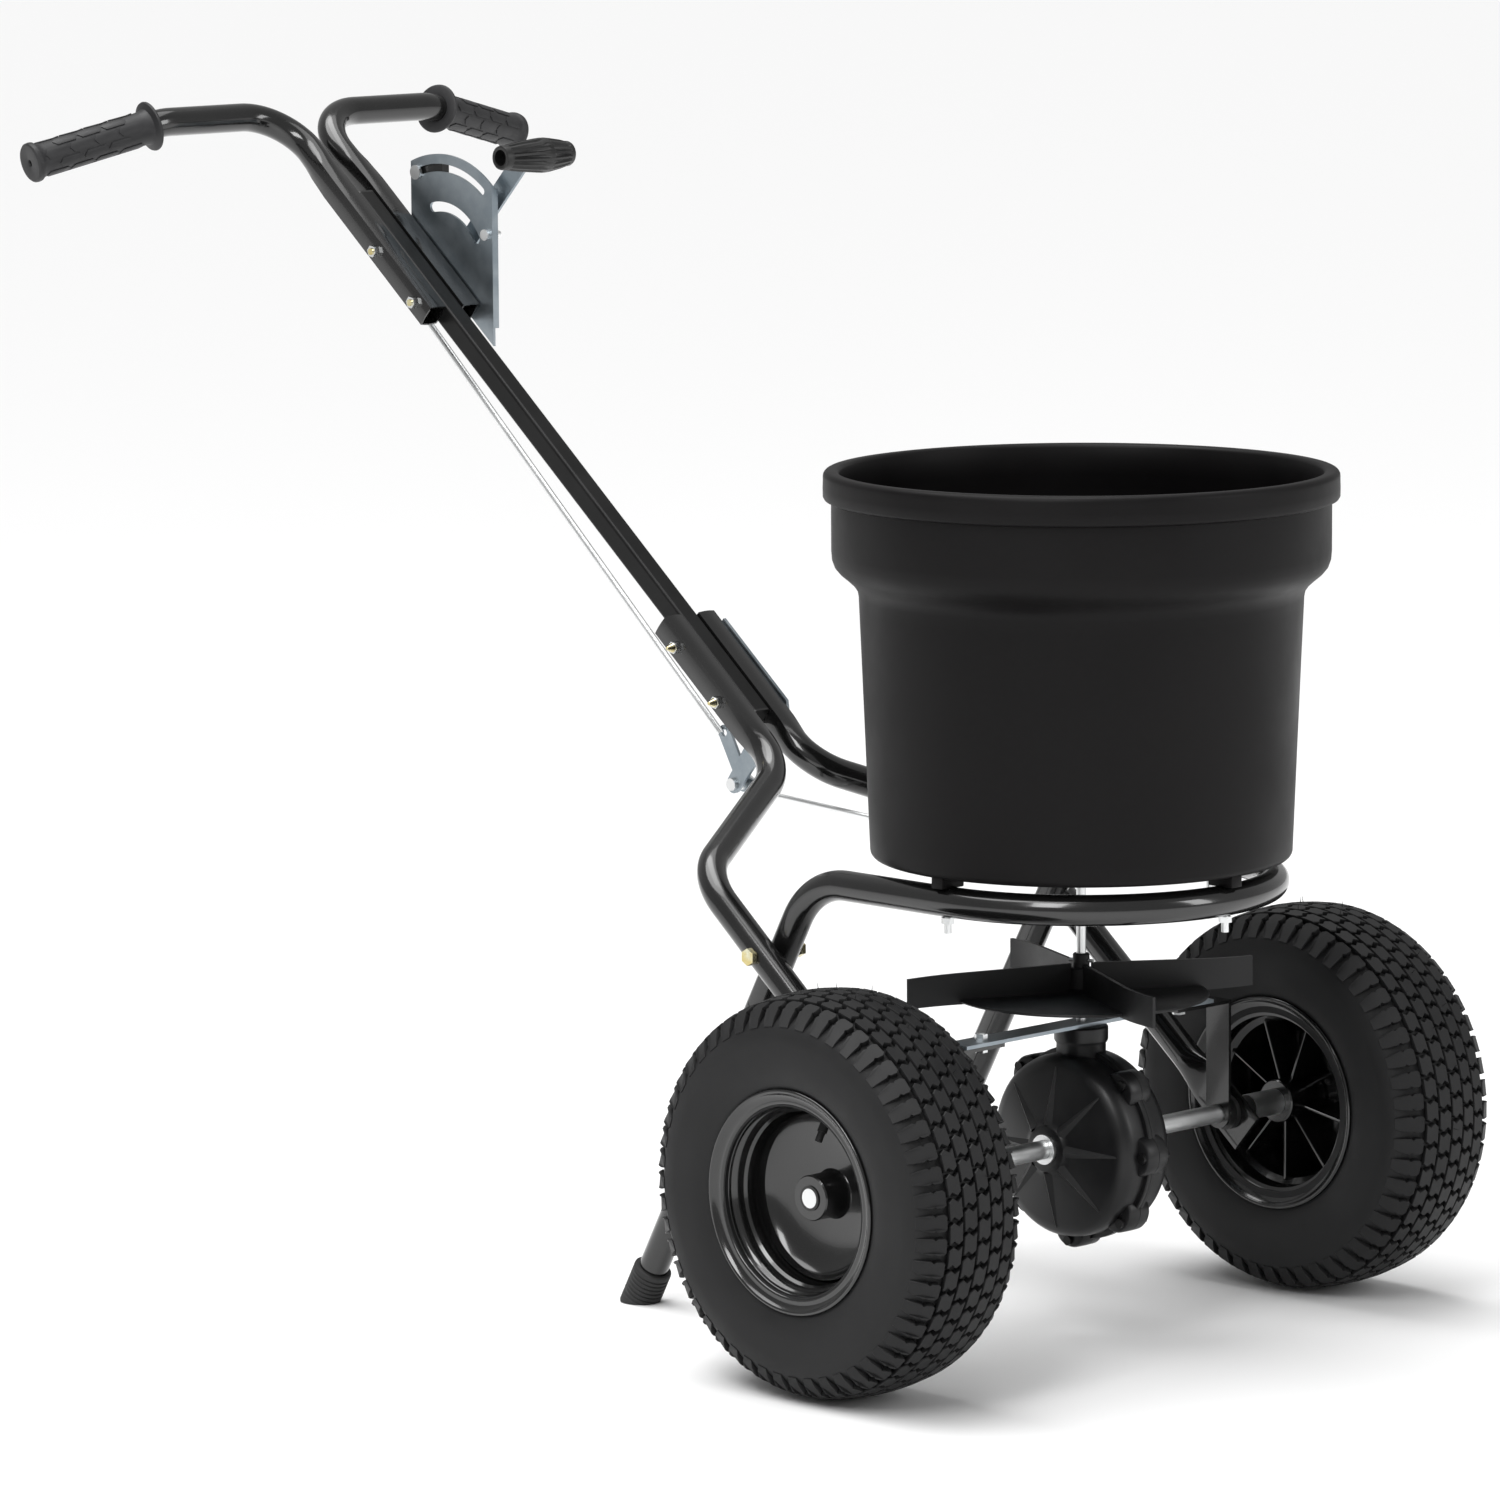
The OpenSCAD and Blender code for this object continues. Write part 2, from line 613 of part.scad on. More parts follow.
module crossing_bolts() place(yellow_zinc) both_sides() translate([0, cross_y, cross_z]) {
    translate([lower_x + tube_r + 0.1, 0, 0]) rotate([0, 90, 0]) hex_bolt(4, 58, 5);
    translate([leg_x - tube_r - 0.1, 0, 0]) rotate([0, -90, 0]) hex_nut(4, 6);
}

module hopper_bolts() place(yellow_zinc) at_hopper_bolts() {
    translate([0, 0, floor_z + 4.1]) hex_bolt(bolt_r, 50, 4);
    translate([0, 0, ring_z - tube_r - 5.2]) hex_nut(bolt_r, 5);
}

strap_z = tower_top + 0.1;
strap_half = 150;
strap_bolt_x = 120;

module gearbox_strap() place(zinc) difference() {
    translate([-strap_half, -12.7, strap_z]) cube([2 * strap_half, 25.4, 3]);
    translate([0, 0, strap_z - 1]) cylinder(r = shaft_r + 0.5, h = 5);
    both_sides() translate([strap_bolt_x, 0, strap_z - 1]) cylinder(r = bolt_r + bolt_gap, h = 5);
}

hanger_x = 172;
module strap_hangers() place(black) both_sides() difference() {
    union() {
        translate([105, -12.7, strap_z - 3.1]) cube([hanger_x - 105, 25.4, 3]);
        translate([hanger_x - 3, -12.7, axle_z]) cube([3, 25.4, strap_z - 0.1 - axle_z]);
        translate([hanger_x - 3, 0, axle_z]) rotate([0, 90, 0]) cylinder(r = 12.7, h = 3);
    }
    translate([hanger_x - 5, 0, axle_z]) rotate([0, 90, 0]) cylinder(r = axle_r + 0.3, h = 8);
    translate([strap_bolt_x, 0, strap_z - 6]) cylinder(r = bolt_r + bolt_gap, h = 8);
}

module strap_bolts() place(zinc) both_sides() translate([strap_bolt_x, 0, 0]) {
    translate([0, 0, strap_z - 3.2]) rotate([180, 0, 0]) hex_bolt(bolt_r, 12, 4);
    translate([0, 0, strap_z + 3.1]) hex_nut(bolt_r, 5);
}

// ---------- pole and handles ----------

pole_start = 497;
pole_end = 1150;

module clamp_holes(list) for (s = list) translate([0, s, 0]) rotate([0, 90, 0])
    cylinder(r = bolt_r + bolt_gap, h = 90, center = true);

module pole() place(black) incline() difference() {
    translate([0, pole_start, 0]) rotate([-90, 0, 0]) linear_extrude(pole_end - pole_start) difference() {
        rounded_square(pole_w, 3);
        rounded_square(pole_w - 2 * tube_wall, 1.6);
    }
    clamp_holes(lower_bolts);
    clamp_holes(upper_bolts);
}

module pole_plugs() place(rubber) incline() {
    translate([0, pole_start - 2, 0]) rotate([-90, 0, 0]) linear_extrude(1.95) rounded_square(pole_w, 3);
    translate([0, pole_start - 0.5, 0]) rotate([-90, 0, 0]) linear_extrude(12) rounded_square(pole_w - 3.2, 1.5);
    translate([0, pole_end + 0.05, 0]) rotate([-90, 0, 0]) linear_extrude(2) rounded_square(pole_w, 3);
    translate([0, pole_end - 12, 0]) rotate([-90, 0, 0]) linear_extrude(12.5) rounded_square(pole_w - 3.2, 1.5);
}

module lower_clamp_bolts() place(yellow_zinc) incline() for (s = lower_bolts) translate([0, s, 0]) {
    translate([clamp_out + 3.7, 0, 0]) rotate([0, 90, 0]) hex_bolt(bolt_r, 69, 4);
    translate([-clamp_out - 0.1, 0, 0]) rotate([0, -90, 0]) cap_nut(bolt_r, 5);
}

module upper_clamp_bolts() place(yellow_zinc) incline() for (s = upper_bolts) translate([0, s, 0]) {
    translate([clamp_out + 3.6, 0, 0]) rotate([0, 90, 0]) hex_bolt(bolt_r, 70, 4);
    translate([-clamp_out - 0.1, 0, 0]) rotate([0, -90, 0]) hex_nut(bolt_r, 5);
}

// Places its children at the droop of a handle, with +X out along the grip
module along_grip() translate([grip_x, handle_bend_s, 0]) rotate([0, grip_droop, 0]) children();

clamp_stop = 1190;
droop_r = 60;

module handle() incline() difference() {
    union() {
        a = [clamp_x, handle_end];
        p = [clamp_x, handle_bend_s];
        b = [grip_x, handle_bend_s];
        take = droop_r * tan(grip_droop / 2);
        bar([clamp_x, clamp_stop], a) clamp_ring();
        bar([clamp_x, clamp_stop], p - [0, handle_bend_r]) tube_ring();
        bend(a, p, b, handle_bend_r) bend_ring();
        bar(p + [handle_bend_r, 0], b - [take, 0]) tube_ring();
        translate([grip_x - take, handle_bend_s, -droop_r]) rotate([90, 0, 0])
            rotate([0, 0, 90 - grip_droop]) rotate_extrude(angle = grip_droop)
            translate([droop_r, 0]) bend_ring();
        along_grip() bar([take, 0], [grip_len - 5, 0]) tube_ring();
    }
    clamp_holes(upper_bolts);
}

module handle_left() place(black) handle();
module handle_right() place(black) mirror([1, 0, 0]) handle();

module grip() incline() along_grip() translate([grip_start, 0, 0]) rotate([0, 90, 0]) difference() {
    union() {
        cylinder(r = 22.5, h = 4);
        cylinder(r = grip_r, h = grip_len);
        translate([0, 0, grip_len - 7]) cylinder(r = 18, h = 7);
    }
    translate([0, 0, -1]) cylinder(r = tube_r + 0.05, h = grip_len - 4 - grip_start + 1.2);
    cylinder(r = 2, h = grip_len + 1);
}

module grip_left() place(rubber) grip();
module grip_right() place(rubber) mirror([1, 0, 0]) grip();

// ---------- flow control ----------

// A slot along an arc about the origin, from angle a to b ahead of upright
module arc_slot(radius, width, a, b) {
    difference() {
        intersection() {
            circle(r = radius + width / 2, $fn = 96);
            polygon(concat([[0, 0]], [for (t = [a : (b - a) / 6 : b + 0.01]) 200 * [-sin(t), cos(t)]]));
        }
        circle(r = radius - width / 2, $fn = 96);
    }
    for (t = [a, b]) translate(radius * [-sin(t), cos(t)]) circle(r = width / 2 - 0.03);
}

plate_front = piv_y - 742;
plate_rear = 39;
stop_radius = 88.8;
stop_rest = -20;

module flow_plate() place(zinc) difference() {
    union() {
        side_plane(plate_x) linear_extrude(plate_t) translate([piv_y, piv_z]) difference() {
            intersection() {
                circle(r = plate_r, $fn = 96);
                polygon([[plate_rear, 110], [plate_rear, plate_rear * sn / cs - 10],
                    [-plate_front, -plate_front * sn / cs - 10], [-plate_front, 110]]);
            }
            arc_slot(stop_radius, 7, stop_rest, 38);
            arc_slot(54, 9, -10, 60);
            circle(r = 4 + bolt_gap);
            translate([-plate_front + 8.3, 31.6]) circle(r = bolt_r + bolt_gap);
        }
        // the front edge, folded outwards
        translate([plate_x, piv_y - plate_front, piv_z - plate_front * sn / cs + 6]) cube([7, 2.5, 124]);
    }
    incline() clamp_holes(upper_bolts);
}

module lever_pivot() place(zinc) translate([0, piv_y, piv_z]) rotate([0, 90, 0]) {
    translate([0, 0, plate_x + 0.1]) cylinder(r = 4, h = 21);
    translate([0, 0, lever_x + lever_t + 0.3]) hex_nut(4, 4.5);
    translate([0, 0, plate_x + plate_t + 0.1]) difference() {
        cylinder(r = 7, h = lever_x - plate_x - plate_t - 0.4);
        translate([0, 0, -1]) cylinder(r = 4 + run, h = 20);
    }
}

module rest_bolt() place(zinc) translate([0, piv_y - plate_front + 8.3, piv_z + 31.6]) {
    translate([plate_x - 0.1, 0, 0]) rotate([0, -90, 0]) cylinder(r = 5, h = 2.6);
    translate([plate_x - 0.2, 0, 0]) rotate([0, 90, 0]) cylinder(r = bolt_r, h = 16);
    translate([plate_x + plate_t + 0.1, 0, 0]) rotate([0, 90, 0]) hex_nut(bolt_r, 5);
}

// Places its children at the lever's pivot, with +Y up along the closed lever
module on_lever() side_plane(lever_x) translate([piv_y, piv_z, 0]) rotate([0, 0, lever_lean + 0.5]) children();

module flow_lever() place(zinc) on_lever() linear_extrude(lever_t) difference() {
    union() {
        translate([-lever_w / 2, -lever_foot]) square([lever_w, lever_foot + knob_reach + 7]);
        translate([0, -lever_foot]) circle(r = lever_w / 2);
    }
    circle(r = 4 + run);
    translate([0, -lever_foot]) circle(r = rod_r + run);
}

knob_in = 28;
knob_out = 54.5;
module lever_knob() place(rubber) difference() {
    on_lever() translate([0, knob_reach, 0]) rotate_extrude() polygon([[0, -knob_in], [10, -knob_in],
        [10.8, -knob_in + 1], [15.5, 22.5], [11.4, knob_out - 1], [10.4, knob_out], [0, knob_out]]);
    on_lever() translate([0, knob_reach, -knob_in - 1]) cylinder(r = 7.5, h = 13);
    on_lever() translate([-lever_w / 2 - 0.1, knob_reach - 30, -0.1])
        cube([lever_w + 0.2, 37.1, lever_t + 0.2]);
}

stop_x = plate_x + plate_t + 0.3;
module flow_stop() place(rubber) side_plane(stop_x) linear_extrude(8) translate([piv_y, piv_z])
    difference() {
        intersection() {
            difference() {
                circle(r = 97, $fn = 96);
                circle(r = 80.5, $fn = 96);
            }
            polygon([[0, 0], for (t = [-25 : 6.25 : 0.1]) 200 * [-sin(t), cos(t)]]);
        }
        translate(stop_radius * [-sin(stop_rest), cos(stop_rest)]) circle(r = bolt_r + bolt_gap);
    }

module flow_stop_bolt() place(zinc) side_plane(0)
    translate([piv_y - stop_radius * sin(stop_rest), piv_z + stop_radius * cos(stop_rest), 0]) {
        translate([0, 0, plate_x - 3.1]) cylinder(r = 6.5, h = 3);
        translate([0, 0, plate_x - 0.5]) cylinder(r = bolt_r, h = 21);
        translate([0, 0, stop_x + 8.1]) difference() {
            union() {
                cylinder(r = 5.5, h = 6);
                rotate([0, 0, stop_rest]) translate([-1.25, 4.5, 1]) cube([2.5, 9, 10]);
                rotate([0, 0, stop_rest]) translate([-1.25, -13.5, 1]) cube([2.5, 9, 10]);
            }
            translate([0, 0, -1]) cylinder(r = bolt_r + run, h = 20);
        }
    }

crank_top_y = crank_y + crank_arm * cos(crank_arm_angle);
crank_top_z = crank_z + crank_arm * sin(crank_arm_angle);
crank_foot_y = crank_y + crank_foot * cos(crank_foot_angle);
crank_foot_z = crank_z + crank_foot * sin(crank_foot_angle);

module control_rod() place(zinc) {
    side_plane(rod_x) bar([crank_top_y, crank_top_z], [foot_y, foot_z]) circle(r = rod_r);
    translate([rod_x, foot_y, foot_z]) sphere(r = rod_r + 0.3);
    translate([rod_x, foot_y, foot_z]) rotate([0, 90, 0]) cylinder(r = rod_r, h = 12);
    // the wing nut that holds it to the lever
    translate([lever_x + lever_t + 0.5, foot_y, foot_z]) rotate([0, 90, 0]) {
        cylinder(r = 5.5, h = 6);
        for (a = [40, 220]) rotate([0, 0, a]) translate([-1.25, 4.5, 1]) cube([2.5, 11, 10]);
    }
}

// Bracket plate bolted behind the lower clamp, with a tongue down to the crank's pivot
bracket_x = clamp_out + 0.6;
module crank_bracket() place(zinc) difference() {
    incline() translate([bracket_x, 0, 0]) rotate([90, 0, 90]) linear_extrude(3) {
        polygon([[600, -9], [600, 12], [500, 12], [491, 4], [490.8, -91.4], [506.8, -91.4], [513, -20],
            [524, -9]]);
        translate([498.8, -91.4]) circle(r = 8);
    }
    incline() clamp_holes(lower_bolts);
    translate([0, crank_y, crank_z]) rotate([0, 90, 0]) cylinder(r = 4 + bolt_gap, h = 60);
}

crank_x = 42.6;
module crank_bolt() place(zinc) translate([0, crank_y, crank_z]) rotate([0, 90, 0]) {
    translate([0, 0, bracket_x - 3.5]) cylinder(r = 5.5, h = 3.3);
    translate([0, 0, bracket_x - 1]) cylinder(r = 4, h = crank_x - bracket_x + crank_t + 6.5);
    translate([0, 0, bracket_x + 3.1]) difference() {
        cylinder(r = 6, h = crank_x - bracket_x - 3.4);
        translate([0, 0, -1]) cylinder(r = 4 + run, h = 20);
    }
    translate([0, 0, crank_x + crank_t + 0.3]) hex_nut(4, 4.5);
}

module bell_crank() place(zinc) side_plane(crank_x) linear_extrude(crank_t) difference() {
    union() {
        translate([crank_y, crank_z]) circle(r = 8);
        translate([crank_y, crank_z]) rotate(crank_arm_angle) translate([0, -7]) square([crank_arm, 14]);
        translate([crank_top_y, crank_top_z]) circle(r = 7);
        translate([crank_y, crank_z]) rotate(crank_foot_angle) translate([0, -6]) square([crank_foot, 12]);
        translate([crank_foot_y, crank_foot_z]) circle(r = 6);
    }
    translate([crank_y, crank_z]) circle(r = 4 + run);
    translate([crank_top_y, crank_top_z]) circle(r = rod_r + 0.3);
    translate([crank_foot_y, crank_foot_z]) circle(r = lower_rod_r + 0.3);
}

module lower_rod() place(zinc) {
    side_plane(rod_x) bar([ear_y, ear_z], [crank_foot_y, crank_foot_z]) circle(r = lower_rod_r);
    translate([rod_x, ear_y, ear_z]) sphere(r = lower_rod_r + 0.2);
    translate([rod_x, ear_y, ear_z]) rotate([0, -90, 0]) cylinder(r = lower_rod_r, h = 8);
}

hopper();
shaft_bushing();
gate_guides();
guide_screws();
closure_plate();
agitator();
impeller();
shaft_pins();
impeller_shaft();
gearbox_right();
gearbox_left();
gearbox_screws();
drive_gear();
pinion();
gear_pin();
axle();
axle_washers();
axle_bushings();
axle_spacers();
tyre_right();
tyre_left();
rim_right();
rim_left();
valve_right();
valve_left();
wheel_bushings_right();
wheel_bushings_left();
drive_pin();
end_rings();
lower_tube_right();
lower_tube_left();
support_tube();
foot_caps();
crossing_bolts();
hopper_bolts();
gearbox_strap();
strap_hangers();
strap_bolts();
pole();
pole_plugs();
lower_clamp_bolts();
upper_clamp_bolts();
handle_right();
handle_left();
grip_right();
grip_left();
flow_plate();
lever_pivot();
rest_bolt();
flow_lever();
lever_knob();
flow_stop();
flow_stop_bolt();
control_rod();
crank_bracket();
crank_bolt();
bell_crank();
lower_rod();
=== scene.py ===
import math
import bpy
from mathutils import Matrix, Quaternion, Vector


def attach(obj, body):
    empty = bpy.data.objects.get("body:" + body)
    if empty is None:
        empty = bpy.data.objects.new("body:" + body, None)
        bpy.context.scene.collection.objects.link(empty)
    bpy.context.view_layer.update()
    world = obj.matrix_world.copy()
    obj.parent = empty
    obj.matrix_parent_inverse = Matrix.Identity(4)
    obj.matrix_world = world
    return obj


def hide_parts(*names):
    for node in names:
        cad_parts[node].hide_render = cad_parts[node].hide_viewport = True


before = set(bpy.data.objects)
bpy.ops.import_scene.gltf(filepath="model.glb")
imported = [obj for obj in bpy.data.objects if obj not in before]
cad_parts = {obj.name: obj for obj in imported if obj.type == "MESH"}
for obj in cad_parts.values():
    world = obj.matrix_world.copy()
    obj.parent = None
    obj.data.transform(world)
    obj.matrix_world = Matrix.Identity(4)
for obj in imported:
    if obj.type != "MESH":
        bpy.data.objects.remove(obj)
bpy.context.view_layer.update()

bpy.ops.object.select_all(action="DESELECT")


# ---------------------------------------------------------------------------
# Sizes that several pieces share, in metres: the axle's line, the wheels'
# middles, the support ring and the one-inch tube. The middle plane is x = 0.
# ---------------------------------------------------------------------------
axle_y, axle_z = -0.399, 0.165
axle_point = Vector((0, axle_y, axle_z))
wheel_x = 0.2881
ring_radius = 0.1588
tube_radius, tube_wall = 0.0127, 0.0015
mirror_x = Matrix.Scale(-1, 4, (1, 0, 0))


# ---------------------------------------------------------------------------
# Studio: a pale floor that fades into a pale room, lit by three soft boxes and
# a broad sun, and a long lens at chest height that looks down a little.
# ---------------------------------------------------------------------------
swing, tilt, lean = math.radians(-44.57), math.radians(8.27), math.radians(-0.36)
back = Vector((math.sin(swing) * math.cos(tilt), -math.cos(swing) * math.cos(tilt), math.sin(tilt)))
across = Vector((math.cos(swing), math.sin(swing), 0))
upward = back.cross(across)
across, upward = (across * math.cos(lean) + upward * math.sin(lean),
                  upward * math.cos(lean) - across * math.sin(lean))
look_at = across * -0.2756 + upward * 0.48818 + Vector((0, axle_y, 0))
bpy.ops.object.camera_add(location=look_at + back * 6.1862)
camera = bpy.context.object
camera.name = "studio_camera"
camera.rotation_mode = "QUATERNION"
camera.rotation_quaternion = Matrix((across, upward, back)).transposed().to_quaternion()
camera.data.lens = 178.35
camera.data.sensor_width = 36
camera.data.clip_end = 100
bpy.context.scene.camera = camera

bpy.ops.mesh.primitive_plane_add(size=60, location=(0, 0, -0.0005))
floor = bpy.context.object
floor.name = "studio_floor"
floor_paint = bpy.data.materials.new("studio_floor_paint")
floor_paint.use_nodes = True
floor_shader = floor_paint.node_tree.nodes["Principled BSDF"]
floor_shader.inputs["Base Color"].default_value = (0.86, 0.86, 0.86, 1)
floor_shader.inputs["Roughness"].default_value = 0.9
floor.data.materials.append(floor_paint)

room = bpy.data.worlds.new("studio_room")
room.use_nodes = True
backdrop = room.node_tree.nodes["Background"]
backdrop.inputs["Color"].default_value = (1, 1, 1, 1)
seen_or_lit = room.node_tree.nodes.new("ShaderNodeLightPath")
room_level = room.node_tree.nodes.new("ShaderNodeMapRange")
room_level.inputs["To Min"].default_value = 0.4
room_level.inputs["To Max"].default_value = 1.0
room.node_tree.links.new(seen_or_lit.outputs["Is Camera Ray"], room_level.inputs["Value"])
room.node_tree.links.new(room_level.outputs["Result"], backdrop.inputs["Strength"])
bpy.context.scene.world = room
bpy.context.scene.view_settings.view_transform = "Standard"


def soft_box(name, place, width, height, watts):
    """A rectangular area light that faces the spreader's middle."""
    bpy.ops.object.light_add(type="AREA", location=place)
    lamp = bpy.context.object
    lamp.name = name
    lamp.data.shape = "RECTANGLE"
    lamp.data.size, lamp.data.size_y = width, height
    lamp.data.energy = watts
    lamp.rotation_euler = (Vector((0, -0.1, 0.4)) - Vector(place)).to_track_quat("-Z", "Y").to_euler()


soft_box("key_box", (-3.0, -1.6, 3.4), 1.2, 2.4, 85)
soft_box("fill_box", (1.6, -4.2, 2.2), 1.0, 2.4, 45)
soft_box("top_box", (0.3, 0.4, 4.0), 2.5, 2.5, 35)
bpy.ops.object.light_add(type="SUN", location=(0, 0, 5))
sky_panel = bpy.context.object
sky_panel.name = "sky_panel"
sky_panel.data.energy = 2.35
sky_panel.data.angle = math.radians(50)
sky_panel.rotation_euler = (math.radians(-12), math.radians(-10), 0)


# ---------------------------------------------------------------------------
# Finishes. Every finish starts from the same fine grain and broad unevenness,
# mixed into its colour, its gloss and its relief at that finish's own scale.
# ---------------------------------------------------------------------------
surface_grain = bpy.data.node_groups.new("surface_grain", "ShaderNodeTree")
for socket, kind in (("Place", "NodeSocketVector"), ("Fine", "NodeSocketFloat"), ("Broad", "NodeSocketFloat")):
    surface_grain.interface.new_socket(socket, in_out="INPUT", socket_type=kind)
for socket in ("Relief", "Patches"):
    surface_grain.interface.new_socket(socket, in_out="OUTPUT", socket_type="NodeSocketFloat")
grain_in = surface_grain.nodes.new("NodeGroupInput")
grain_out = surface_grain.nodes.new("NodeGroupOutput")
fine_noise = surface_grain.nodes.new("ShaderNodeTexNoise")
fine_noise.inputs["Detail"].default_value = 4
broad_noise = surface_grain.nodes.new("ShaderNodeTexNoise")
broad_noise.inputs["Detail"].default_value = 5
broad_noise.inputs["Roughness"].default_value = 0.6
spread = surface_grain.nodes.new("ShaderNodeMapRange")
spread.inputs["From Min"].default_value = 0.36
spread.inputs["From Max"].default_value = 0.66
wire = surface_grain.links.new
wire(grain_in.outputs["Place"], fine_noise.inputs["Vector"])
wire(grain_in.outputs["Fine"], fine_noise.inputs["Scale"])
wire(grain_in.outputs["Place"], broad_noise.inputs["Vector"])
wire(grain_in.outputs["Broad"], broad_noise.inputs["Scale"])
wire(broad_noise.outputs["Fac"], spread.inputs["Value"])
wire(fine_noise.outputs["Fac"], grain_out.inputs["Relief"])
wire(spread.outputs["Result"], grain_out.inputs["Patches"])


def finish(name, dark, light, gloss, fine, broad, relief, metal=0.0, coat=0.0, specular=0.5):
    """A finish that wanders between two colours and two roughnesses, with a fine relief in millimetres."""
    made = bpy.data.materials.new(name)
    made.use_nodes = True
    nodes, wire = made.node_tree.nodes, made.node_tree.links.new
    shader = nodes["Principled BSDF"]
    shader.inputs["Metallic"].default_value = metal
    shader.inputs["Coat Weight"].default_value = coat
    shader.inputs["Coat Roughness"].default_value = 0.06
    shader.inputs["Specular IOR Level"].default_value = specular
    place = nodes.new("ShaderNodeTexCoord")
    grain = nodes.new("ShaderNodeGroup")
    grain.node_tree = surface_grain
    grain.inputs["Fine"].default_value = fine
    grain.inputs["Broad"].default_value = broad
    wire(place.outputs["Object"], grain.inputs["Place"])
    tint = nodes.new("ShaderNodeMix")
    tint.name = "tint"
    tint.data_type = "RGBA"
    tint.inputs["A"].default_value = (*dark, 1)
    tint.inputs["B"].default_value = (*light, 1)
    wire(grain.outputs["Patches"], tint.inputs["Factor"])
    wire(tint.outputs["Result"], shader.inputs["Base Color"])
    rough = nodes.new("ShaderNodeMapRange")
    rough.name = "rough"
    rough.inputs["To Min"].default_value, rough.inputs["To Max"].default_value = gloss
    wire(grain.outputs["Patches"], rough.inputs["Value"])
    wire(rough.outputs["Result"], shader.inputs["Roughness"])
    bump = nodes.new("ShaderNodeBump")
    bump.name = "bump"
    bump.inputs["Strength"].default_value = 1
    bump.inputs["Distance"].default_value = relief / 1000
    wire(grain.outputs["Relief"], bump.inputs["Height"])
    wire(bump.outputs["Normal"], shader.inputs["Normal"])
    return made


def give(made, *nodes):
    """Puts a finish on CAD nodes."""
    for node in nodes:
        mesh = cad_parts[node].data
        mesh.materials.clear()
        mesh.materials.append(made)


gloss_black = finish("gloss_black_paint", (0.0045, 0.0045, 0.0045), (0.0065, 0.0065, 0.0065),
                     (0.14, 0.22), 900, 9, 0.002, coat=0.5)
satin_black = finish("satin_black_paint", (0.005, 0.005, 0.005), (0.008, 0.008, 0.008),
                     (0.30, 0.42), 1400, 14, 0.006, specular=0.2)
zinc_plate = finish("zinc_plate", (0.25, 0.29, 0.32), (0.38, 0.42, 0.45),
                    (0.34, 0.46), 420, 22, 0.002, metal=1.0)
bright_zinc = finish("bright_zinc", (0.74, 0.75, 0.75), (0.82, 0.83, 0.83),
                     (0.3, 0.4), 500, 16, 0.0008, metal=1.0)
yellow_zinc = finish("yellow_zinc", (0.60, 0.50, 0.22), (0.70, 0.68, 0.50),
                     (0.2, 0.3), 420, 120, 0.001, metal=1.0)
box_plastic = finish("box_plastic", (0.0055, 0.0055, 0.006), (0.009, 0.009, 0.0095),
                     (0.32, 0.42), 1500, 20, 0.02, specular=0.35)
gear_plastic = finish("gear_plastic", (0.006, 0.006, 0.0065), (0.010, 0.010, 0.0105),
                      (0.40, 0.52), 1500, 16, 0.02, specular=0.3)
black_nylon = finish("black_nylon", (0.006, 0.006, 0.006), (0.009, 0.009, 0.009),
                     (0.35, 0.48), 1200, 30, 0.01)
soft_rubber = finish("soft_rubber", (0.008, 0.008, 0.008), (0.013, 0.013, 0.013),
                     (0.55, 0.7), 1600, 40, 0.02)

# the clamp bolts' nuts are bright, and the bolts' own ends and far heads are yellow passivated
bolt_zinc = yellow_zinc.copy()
bolt_zinc.name = "bolt_zinc"
bolt_nodes, bolt_wire = bolt_zinc.node_tree.nodes, bolt_zinc.node_tree.links.new
bolt_x = bolt_nodes.new("ShaderNodeSeparateXYZ")
nut_zone = bolt_nodes.new("ShaderNodeMapRange")
nut_zone.inputs["From Min"].default_value = -0.0355
nut_zone.inputs["From Max"].default_value = -0.0352
nut_tint = bolt_nodes.new("ShaderNodeMix")
nut_tint.data_type = "RGBA"
nut_tint.inputs["B"].default_value = (0.66, 0.67, 0.67, 1)
bolt_wire(next(n for n in bolt_nodes if n.type == "TEX_COORD").outputs["Object"], bolt_x.inputs["Vector"])
bolt_wire(bolt_x.outputs["X"], nut_zone.inputs["Value"])
bolt_wire(nut_zone.outputs["Result"], nut_tint.inputs["Factor"])
bolt_wire(bolt_nodes["tint"].outputs["Result"], nut_tint.inputs["A"])
bolt_wire(nut_tint.outputs["Result"], bolt_nodes["Principled BSDF"].inputs["Base Color"])

give(zinc_plate, "gate_guides", "closure_plate", "gearbox_strap", "flow_plate",
     "flow_lever", "crank_bracket", "bell_crank")
give(bright_zinc, "guide_screws", "agitator", "impeller_shaft", "shaft_pins",
     "gear_pin", "axle", "axle_washers", "axle_spacers", "drive_pin", "strap_bolts", "hopper_bolts",
     "lever_pivot", "rest_bolt", "flow_stop_bolt", "control_rod", "crank_bolt", "lower_rod")
give(yellow_zinc, "crossing_bolts")
give(bolt_zinc, "lower_clamp_bolts", "upper_clamp_bolts")
give(gloss_black, "strap_hangers")
give(gear_plastic, "drive_gear", "pinion")
give(black_nylon, "shaft_bushing", "axle_bushings", "wheel_bushings_right", "wheel_bushings_left",
     "pole_plugs", "flow_stop", "end_rings")
give(soft_rubber, "valve_right", "valve_left")
give(satin_black, "pole", "gearbox_screws")


# ---------------------------------------------------------------------------
# Shaping: turned, boxed and joined pieces, copies and mirror images, and the
# step that settles a finished piece on its body.
# ---------------------------------------------------------------------------
def pick(piece):
    """Makes a piece the active one and the only selected one."""
    bpy.ops.object.select_all(action="DESELECT")
    piece.select_set(True)
    bpy.context.view_layer.objects.active = piece


